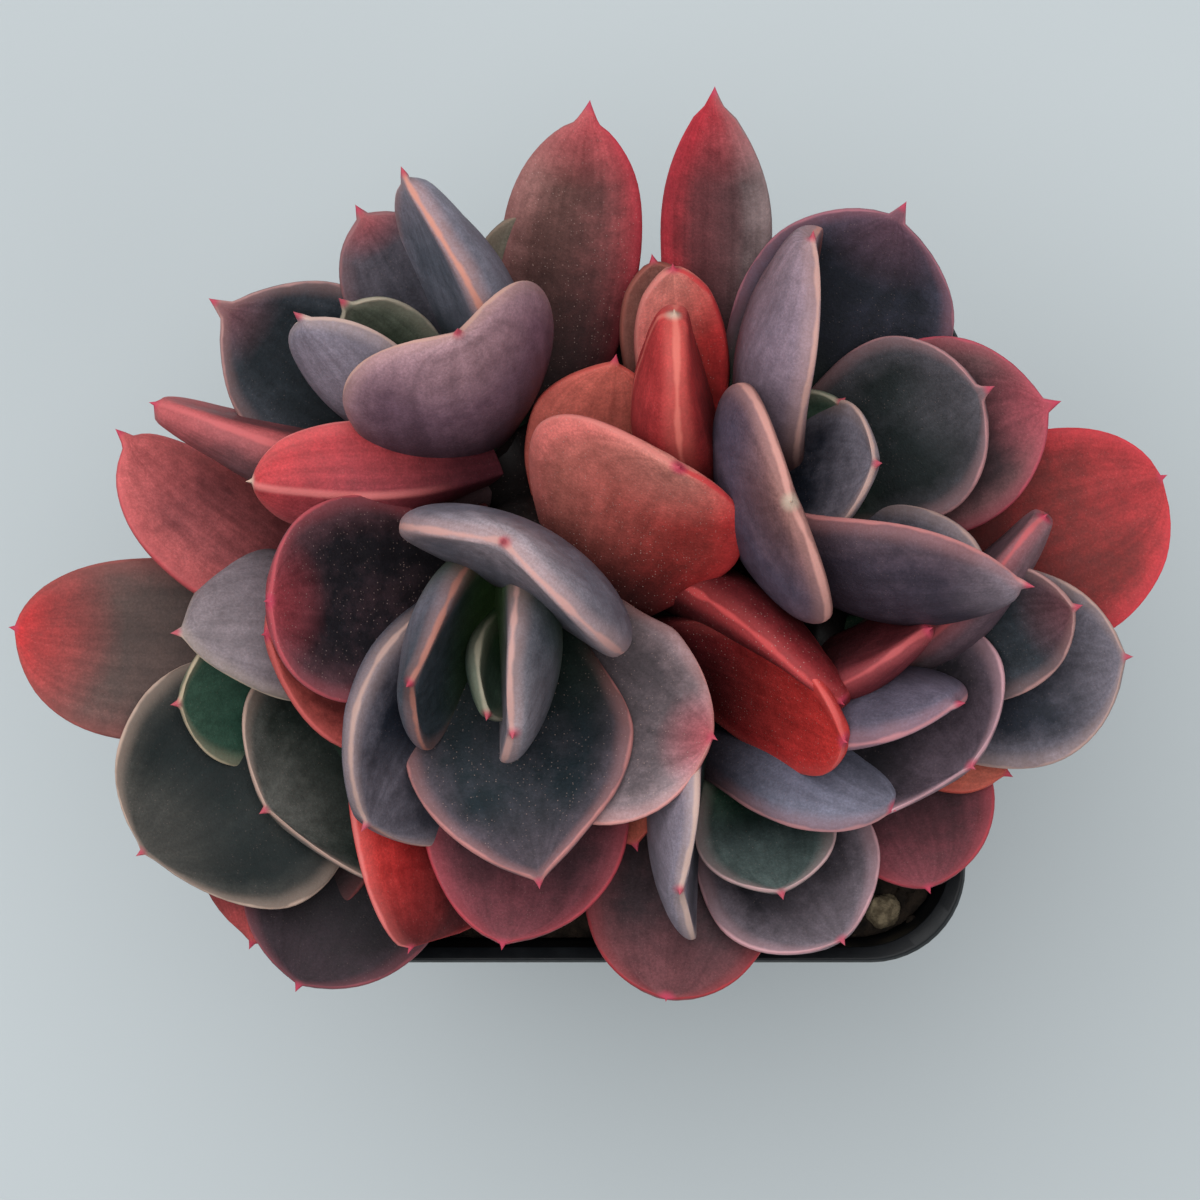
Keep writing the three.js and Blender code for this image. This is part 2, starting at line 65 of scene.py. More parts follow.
def tone(red, green, blue):
    # a screen colour from 0 to 255 as the linear colour that a shader reads
    def linear(value):
        share = value / 255
        return share / 12.92 if share <= 0.04045 else ((share + 0.055) / 1.055) ** 2.4
    return (linear(red), linear(green), linear(blue), 1.0)


def clamp(value, low=0.0, high=1.0):
    return max(low, min(high, value))


def blendTone(first, second, share):
    return tuple(a + (b - a) * share for a, b in zip(first, second))


def meshFrom(bm, name):
    mesh = bpy.data.meshes.new(name)
    bm.to_mesh(mesh)
    bm.free()
    return mesh


def addObject(name, data):
    made = bpy.data.objects.new(name, data)
    bpy.context.scene.collection.objects.link(made)
    return made


def finishPiece(bm, name, material, node):
    # turns a bmesh into a shaded object that rides on the pot and stands for its solid
    mesh = meshFrom(bm, name)
    mesh.materials.append(material)
    mesh.shade_smooth()
    piece = addObject(name, mesh)
    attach(piece, "root")
    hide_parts(node)
    return piece


def makePattern(name, kind, **sizes):
    # one ball, made once and then copied into other meshes
    bm = bmesh.new()
    kind(bm, radius=1, **sizes)
    return meshFrom(bm, name)


def addCopy(bm, pattern):
    before = len(bm.verts)
    bm.from_mesh(pattern)
    bm.verts.ensure_lookup_table()
    return bm.verts[before:]


# Node helpers for the materials

def plug(tree, socket, value):
    if isinstance(value, bpy.types.NodeSocket):
        tree.links.new(value, socket)
    else:
        socket.default_value = value


def plugAll(tree, node, inputs):
    for name, value in inputs.items():
        plug(tree, node.inputs[name], value)


def addNode(tree, kind, inputs=None, **settings):
    made = tree.nodes.new(kind)
    for name, value in settings.items():
        setattr(made, name, value)
    plugAll(tree, made, inputs or {})
    return made


def mixTones(tree, share, first, second):
    made = addNode(tree, "ShaderNodeMix", data_type="RGBA")
    plugAll(tree, made, {0: share, 6: first, 7: second})
    return made.outputs[2]


def sums(tree, operation, *values, clampIt=False):
    # adds or multiplies sockets and numbers, one after another
    result = values[0]
    for value in values[1:]:
        made = addNode(tree, "ShaderNodeMath", {0: result, 1: value}, operation=operation)
        result = made.outputs[0]
    made.use_clamp = clampIt
    return result


def fade(tree, value, start, end, low=0.0, high=1.0):
    # a smooth step from low at start to high at end, whichever of the two is larger
    if start > end:
        start, end, low, high = end, start, high, low
    span = {"Value": value, "From Min": start, "From Max": end, "To Min": low, "To Max": high}
    return addNode(tree, "ShaderNodeMapRange", span, interpolation_type="SMOOTHSTEP").outputs["Result"]


def grain(tree, coordinates, scale, detail=3.0, rough=0.55):
    inputs = {"Vector": coordinates, "Scale": scale, "Detail": detail, "Roughness": rough}
    return addNode(tree, "ShaderNodeTexNoise", inputs).outputs["Fac"]


def bumps(tree, patterns, depths, strength, distance):
    # the shader's Normal for patterns that are added up, each times its own depth
    scaled = [sums(tree, "MULTIPLY", pattern, depth) for pattern, depth in zip(patterns, depths)]
    height = sums(tree, "ADD", *scaled, 0.0)
    inputs = {"Strength": strength, "Distance": distance, "Height": height}
    return addNode(tree, "ShaderNodeBump", inputs).outputs["Normal"]


def newMaterial(name):
    # with its node tree, its shader, and the place on the piece that the patterns read
    material = bpy.data.materials.new(name)
    material.use_nodes = True
    tree = material.node_tree
    place = addNode(tree, "ShaderNodeTexCoord").outputs["Object"]
    return material, tree, tree.nodes["Principled BSDF"], place


def readAttribute(tree, name, output="Vector"):
    return addNode(tree, "ShaderNodeAttribute", attribute_name=name).outputs[output]


def readParts(tree, name):
    parts = addNode(tree, "ShaderNodeSeparateXYZ", {"Vector": readAttribute(tree, name)})
    return [parts.outputs[axis] for axis in "XYZ"]


# The leaf's finish: a dark core, a paler haze and a coloured line towards its margin.
# Four numbers together are a fade: from where, to where, and the share at each of the two.

toneParts = ("Core", "Haze", "Line", "Base", "Tip")

leafFinish = dict(
    # from the margin, the keel or the point, in millimetres
    haze=(5.5, 0.3, 0, 0.85), tipHaze=(12, 3, 0, 0.3),
    # painted highlight: the first of these is a soft glow inside the margin line, and the line is the leaf's
    # own pale margin with painted highlight on it
    paintedGlow=(2.4, 0.3, 0, 0.26), line=(0.5, 0.1, 0, 0.6), keelLine=(0.6, 0.1), tip=(1.6, 0.6, 0, 0.85),
    # from the foot, as shares of the leaf's length
    footHaze=(0.02, 0.45, 0.25, 1), footTone=(0.5, 0.12, 0, 0.85),
    lineStart=(0.08, 0.35), keelStart=(0.2, 0.6),
    # painted shade: the next two darken the core and haze towards the foot, where the leaves shade each other
    footDarkness=0.22, paintedShadeReach=0.7,  # how dark the foot is against the end, and how far up
    # patterns: cells to the metre, detail and roughness, and the streaks' cells across and along a leaf
    cloudGrain=(95, 4), driftGrain=(260, 2), mottleGrain=(520, 5, 0.65), waxGrain=(3600, 3, 0.7),
    streakCells=(9.0, 1.6, 1.0),
    # how the patterns break up the haze and the line, and how they shade all colours
    cloudHaze=(0.35, 0.7, -0.12, 0.14), mottleHaze=(0.3, 0.7, -0.09, 0.09),
    lineDrift=(0.3, 0.7, -0.15, 0.15),
    streakShade=(0.3, 0.7, 0.88, 1.12), cloudShade=(0.35, 0.65, 0.9, 1.1),
    mottleShade=(0.25, 0.75, 0.84, 1.18), waxShade=(0.3, 0.75, 0.84, 1.2),
    # pale specks of wax
    speckScale=3000, speckSize=(0.26, 0.12), speckLot=(0.45, 0.95), speckClouds=(0.35, 0.6, 0.35, 1),
    speckShare=0.36, speckTone=(206, 176, 166),
    # gloss and depth, and the relief of wax, mottling, specks and streaks
    roughness=(0.3, 0.7, 0.46, 0.64), specular=0.16,
    subsurface=0.04, subsurfaceRadius=(0.0016, 0.0006, 0.0004),
    relief=(0.35, 0.5, 0.5, 0.2), bump=(0.35, 0.00035),
    # how sharply one face's colours give way to the other's, one half's to the other's, and how much
    # of the haze the lower face takes
    faceBlend=4, halfBlend=0.9, underShare=0.5,
    flushStart=1.15, flushCore=0.8,  # the flush at the point, and how much of it the core takes
)


def makeLeafMaterial():
    material, tree, shader, place = newMaterial("waxyLeaf")
    finish = leafFinish

    def step(value, name):
        return fade(tree, value, *finish[name])

    along = readParts(tree, "leafPlace")[1]
    edgeGap, tipGap, keelGap = readParts(tree, "leafGaps")
    specks, keelLine, seed = readParts(tree, "leafTraits")
    core, haze, line, base, tip = (readAttribute(tree, "tone" + part, "Color") for part in toneParts)

    clouds, drift, mottle, wax = (
        grain(tree, place, *finish[kind + "Grain"]) for kind in ("cloud", "drift", "mottle", "wax"))
    stretch = {0: readAttribute(tree, "leafPlace"), 1: finish["streakCells"]}
    stretched = addNode(tree, "ShaderNodeVectorMath", stretch, operation="MULTIPLY").outputs[0]
    shift = addNode(tree, "ShaderNodeCombineXYZ", {"X": seed, "Y": seed}).outputs[0]
    streakPlace = addNode(tree, "ShaderNodeVectorMath", {0: stretched, 1: shift}).outputs[0]
    streaks = grain(tree, streakPlace, 1.0)

    # dark core to haze, the haze broken up by clouds and mottling, and the foot's own colour
    reach = sums(tree, "ADD", step(edgeGap, "haze"), step(tipGap, "tipHaze"),
                 step(clouds, "cloudHaze"), step(mottle, "mottleHaze"))
    reach = sums(tree, "MULTIPLY", reach, step(along, "footHaze"), clampIt=True)
    colour = mixTones(tree, step(along, "footTone"), mixTones(tree, reach, core, haze), base)
    shade = sums(tree, "MULTIPLY", step(streaks, "streakShade"), step(clouds, "cloudShade"),
                 step(mottle, "mottleShade"), step(wax, "waxShade"))
    colour = addNode(tree, "ShaderNodeVectorMath", {0: colour, 3: shade}, operation="SCALE").outputs[0]

    # the line along the margin, soft on its inner side, which is the leaf's own pale margin with painted
    # highlight on it and a soft glow of painted highlight inside; the line along the keel and the point
    wander = sums(tree, "ADD", edgeGap, step(drift, "lineDrift"))
    mark = sums(tree, "ADD", step(wander, "paintedGlow"), step(wander, "line"), clampIt=True)
    mark = sums(tree, "MULTIPLY", mark, step(along, "lineStart"))
    keel = sums(tree, "MULTIPLY", step(keelGap, "keelLine"), keelLine, step(along, "keelStart"))
    for share, paint in ((mark, line), (keel, line), (step(tipGap, "tip"), tip)):
        colour = mixTones(tree, share, colour, paint)

    # pale specks of wax
    cells = addNode(tree, "ShaderNodeTexVoronoi", {"Vector": place, "Scale": finish["speckScale"]}).outputs
    lot = addNode(tree, "ShaderNodeSeparateColor", {"Color": cells["Color"]}).outputs["Red"]
    speck = sums(tree, "MULTIPLY", step(cells["Distance"], "speckSize"), step(lot, "speckLot"),
                 step(clouds, "speckClouds"), specks)
    speckMark = sums(tree, "MULTIPLY", speck, finish["speckShare"], clampIt=True)
    colour = mixTones(tree, speckMark, colour, tone(*finish["speckTone"]))

    plugAll(tree, shader, {
        "Base Color": colour, "Roughness": step(mottle, "roughness"),
        "Specular IOR Level": finish["specular"], "Subsurface Weight": finish["subsurface"],
        "Subsurface Radius": finish["subsurfaceRadius"], "Subsurface Scale": 1.0,
        "Normal": bumps(tree, (wax, mottle, speck, streaks), finish["relief"], *finish["bump"]),
    })
    return material


# The looks that a leaf can have. The first four colours are the core, which is the middle of the
# upper face, the paler haze around it, the line along the margin, and the lower face. base is the
# foot's colour, which reaches baseReach times as far as usual, tip the short point's, and end a
# flush that spreads endReach millimetres from the point. specks and keel say how strong the wax
# specks and the line along the keel are. right is the look of the right-hand half, which begins
# at split, from 1 at the left margin to -1 at the right.

pinkTip = (186, 62, 88)
dryTip = (196, 176, 158)
greenFoot = (24, 46, 30)
redFoot = (58, 22, 24)
usualLook = dict(base=greenFoot, tip=pinkTip, baseReach=1.0, endReach=10, specks=0.3, keel=0.0, split=0.0)


def hues(core, haze, line, under, **more):
    first = dict(core=core, haze=haze, line=line, under=under, end=haze)
    return {**usualLook, **first, **more}


leafLooks = {
    "heart": hues((28, 46, 36), (66, 84, 70), (168, 160, 140), (84, 96, 92), base=(40, 66, 34),
        baseReach=1.5),
    "paleHeart": hues((48, 60, 46), (96, 102, 88), (176, 164, 146), (84, 92, 80)),
    "tealHeart": hues((28, 38, 38), (74, 86, 84), (200, 164, 164), (74, 84, 84), base=(28, 56, 38),
        baseReach=1.3),
    "fold": hues((108, 102, 110), (128, 122, 130), (206, 160, 152), (66, 72, 80), base=(60, 86, 46),
        baseReach=1.55),
    "slateRidge": hues((40, 50, 53), (66, 72, 80), (176, 116, 102), (122, 118, 130), base=(58, 84, 44),
        baseReach=1.5),
    "ridge": hues((104, 102, 112), (150, 136, 142), (208, 158, 150), (106, 106, 118), base=(84, 62, 62),
        tip=(190, 76, 92)),
    "slate": hues((34, 38, 48), (112, 106, 116), (192, 158, 148), (116, 112, 124), base=(32, 34, 40)),
    "bigSlate": hues((26, 37, 43), (88, 78, 86), (206, 138, 134), (104, 98, 110), specks=1.0,
        base=(24, 38, 32)),
    "dusk": hues((84, 76, 80), (150, 130, 134), (220, 152, 146), (100, 84, 90), specks=1.2,
        base=(50, 50, 54), end=(178, 84, 92), endReach=6),
    "charcoal": hues((27, 24, 29), (88, 58, 64), (190, 84, 92), (92, 70, 80), specks=0.9, base=(20, 18, 22),
        end=(150, 58, 66), endReach=7),
    "salmon": hues((104, 44, 42), (172, 78, 72), (204, 96, 92), (150, 60, 60), base=redFoot),
    "redEdge": hues((44, 24, 26), (84, 32, 34), (168, 52, 54), (120, 42, 46), base=redFoot, right="redFlank",
        split=-0.42),
    "redFlank": hues((200, 44, 42), (216, 70, 66), (222, 120, 116), (150, 44, 46)),
    "mauve": hues((66, 40, 46), (116, 58, 66), (178, 66, 76), (90, 48, 58), base=(34, 22, 26)),
    "terra": hues((142, 74, 60), (176, 90, 74), (190, 84, 74), (150, 70, 56), base=redFoot),
    # coral: the pale core, haze and end are partly the leaf's salmon colour and partly painted highlight on
    # its lit side; the dark base is partly painted shade
    "coral": hues((196, 112, 102), (216, 116, 110), (214, 128, 120), (120, 50, 52), base=(40, 20, 20),
        specks=1.6, right="coralEdge", split=0.1, end=(206, 132, 120), endReach=9),
    "coralEdge": hues((150, 54, 50), (208, 60, 60), (206, 62, 66), (120, 50, 52)),
    "orange": hues((180, 92, 80), (200, 104, 92), (204, 90, 82), (150, 66, 56), base=(110, 50, 42),
        specks=0.8),
    "redKeel": hues((118, 38, 40), (180, 58, 58), (222, 120, 108), (164, 56, 58), base=redFoot, keel=0.6,
        tip=dryTip),
    "brightKeel": hues((140, 42, 46), (186, 62, 66), (224, 126, 124), (168, 62, 68), base=(60, 24, 32),
        keel=0.8, tip=dryTip, right="mauveFlank"),
    "mauveFlank": hues((126, 62, 72), (172, 90, 98), (224, 126, 124), (126, 62, 72)),
    "maroonKeel": hues((84, 26, 30), (128, 40, 44), (206, 82, 82), (92, 30, 34), base=redFoot, keel=0.4,
        specks=1.4),
    "scarlet": hues((102, 28, 28), (158, 38, 40), (216, 96, 92), (160, 36, 42), base=(50, 14, 18),
        baseReach=1.3, keel=0.4, specks=1.0, end=(192, 52, 48), endReach=15),
    "lavenderFold": hues((64, 66, 74), (124, 116, 128), (208, 176, 164), (132, 124, 136)),
    "lavenderRidge": hues((104, 108, 120), (126, 122, 134), (216, 146, 126), (114, 112, 124)),
    "purpleUnder": hues((58, 50, 58), (168, 132, 138), (204, 160, 146), (112, 84, 98), base=(42, 28, 36),
        baseReach=1.3),
    "brownUnder": hues((52, 44, 52), (142, 120, 130), (210, 164, 154), (124, 108, 122), base=(56, 32, 34),
        right="brownHalf"),
    "brownHalf": hues((74, 44, 46), (112, 66, 66), (196, 130, 118), (84, 50, 52)),
    "teal": hues((30, 36, 41), (62, 66, 73), (184, 140, 136), (80, 80, 90), end=(110, 66, 72), endReach=7),
    "dusky": hues((70, 68, 76), (94, 86, 94), (150, 104, 106), (84, 76, 84), end=(172, 84, 88), endReach=5.5),
    "rose": hues((110, 66, 70), (172, 84, 86), (204, 104, 106), (104, 76, 80), base=(60, 44, 46)),
    "roseBrown": hues((98, 66, 62), (152, 106, 102), (160, 104, 102), (96, 64, 68), base=(26, 16, 18),
        baseReach=1.7, specks=1.0, right="roseEdge", end=(190, 80, 86), endReach=9, split=-0.4),
    "roseEdge": hues((112, 66, 68), (192, 66, 76), (200, 62, 78), (96, 64, 68)),
    "olive": hues((84, 82, 70), (106, 100, 88), (140, 116, 100), (84, 82, 70)),
    "purpleRidge": hues((84, 48, 46), (128, 88, 84), (214, 156, 146), (92, 84, 102), base=(44, 34, 42),
        tip=dryTip),
    "bigGreen": hues((25, 32, 33), (78, 74, 80), (190, 136, 138), (90, 88, 98)),
    "plumFold": hues((58, 50, 56), (112, 88, 94), (204, 132, 130), (64, 56, 68), base=(34, 26, 30),
        end=(140, 126, 136), endReach=8),
    "navy": hues((26, 29, 38), (66, 64, 78), (170, 108, 120), (80, 70, 86), end=(90, 60, 72), endReach=9),
    "brownRose": hues((60, 42, 46), (112, 74, 76), (190, 80, 96), (96, 60, 66), base=(30, 22, 26),
        end=(164, 70, 82), endReach=8),
    "brown": hues((92, 60, 54), (120, 78, 70), (150, 86, 76), (100, 62, 52), base=redFoot),
    "crimsonBrown": hues((112, 52, 56), (178, 52, 62), (196, 58, 72), (96, 64, 68), base=(38, 28, 30),
        baseReach=1.3, right="greyEdge"),
    "greyEdge": hues((84, 62, 64), (124, 108, 108), (150, 126, 126), (96, 64, 68)),
    "blueUnder": hues((50, 48, 58), (122, 120, 136), (200, 140, 142), (92, 94, 110), base=(36, 30, 36),
        baseReach=1.3),
    "greyMauve": hues((34, 32, 38), (104, 94, 102), (216, 164, 170), (90, 82, 94)),
    "darkRedEdge": hues((68, 54, 58), (114, 66, 70), (172, 56, 62), (80, 42, 48), base=(30, 22, 26)),
    "mauveEdge": hues((78, 62, 70), (120, 90, 96), (204, 100, 104), (92, 76, 86)),
    "bluePurple": hues((50, 46, 56), (106, 98, 114), (206, 140, 146), (78, 74, 88)),
    "mauveCharcoal": hues((28, 25, 31), (92, 78, 88), (218, 168, 176), (84, 70, 82)),
    "maroon": hues((72, 32, 36), (108, 46, 52), (190, 88, 90), (104, 40, 46), base=redFoot, keel=0.5),
    "crimson": hues((122, 46, 44), (174, 56, 60), (214, 64, 76), (140, 42, 48), base=(60, 26, 28),
        baseReach=1.3),
    "deepGreen": hues((28, 58, 46), (56, 82, 68), (190, 172, 146), (80, 94, 88), base=(30, 60, 40)),
    "greyUnder": hues((58, 56, 60), (132, 120, 124), (214, 192, 172), (116, 106, 112), base=(70, 44, 46),
        baseReach=1.6),
    "bloomGreen": hues((36, 44, 40), (88, 88, 84), (196, 164, 150), (96, 92, 102)),
    "bigDark": hues((22, 30, 30), (70, 68, 64), (200, 172, 156), (84, 78, 86)),
    "brownGrey": hues((84, 68, 64), (112, 76, 72), (160, 84, 80), (90, 60, 60), base=(40, 34, 34),
        end=(186, 50, 52), endReach=11),
    "rosy": hues((140, 74, 76), (194, 98, 98), (196, 86, 90), (128, 70, 74), base=(60, 34, 38), keel=0.3),
    # painted shade: a near-black look for leaves deep among the others, standing for the shade there
    "dark": hues((28, 24, 28), (58, 46, 52), (144, 76, 84), (60, 46, 54)),
    # painted shade: the dark core and haze stand for this leaf lying in shade; the red end is its own colour
    "shadedRedBit": hues((44, 30, 32), (56, 36, 38), (120, 60, 60), (60, 34, 36), end=(190, 78, 78), endReach=10),
    # painted shade: the stem and the core on it are near-black, standing for the shade in the gaps between
    # the leaves
    "shadedStem": hues((24, 20, 20), (28, 24, 22), (28, 24, 22), (24, 20, 20), base=(20, 17, 16)),
}


# The rosettes, with the same places and sizes as their solids, in millimetres

usualLeaf = dict(
    thick=5, upper=0.25,  # the thickness, and the share of it that lies above the margin
    widest=0.62, taper=0.55,  # where along it the leaf is widest, and how bluntly it ends
    cup=0.4, bow=0.06, sway=0, lop=0,  # bent across, along and sideways, and shifted to one side
    keel=0, spike=1.2,
)


def leaf(tip, width, face, look, **shape):
    # face is where the upper face looks. A leaf starts at its foot, or drop below the crown
    return dict(usualLeaf, tip=tip, width=width, face=face, look=look, **shape)


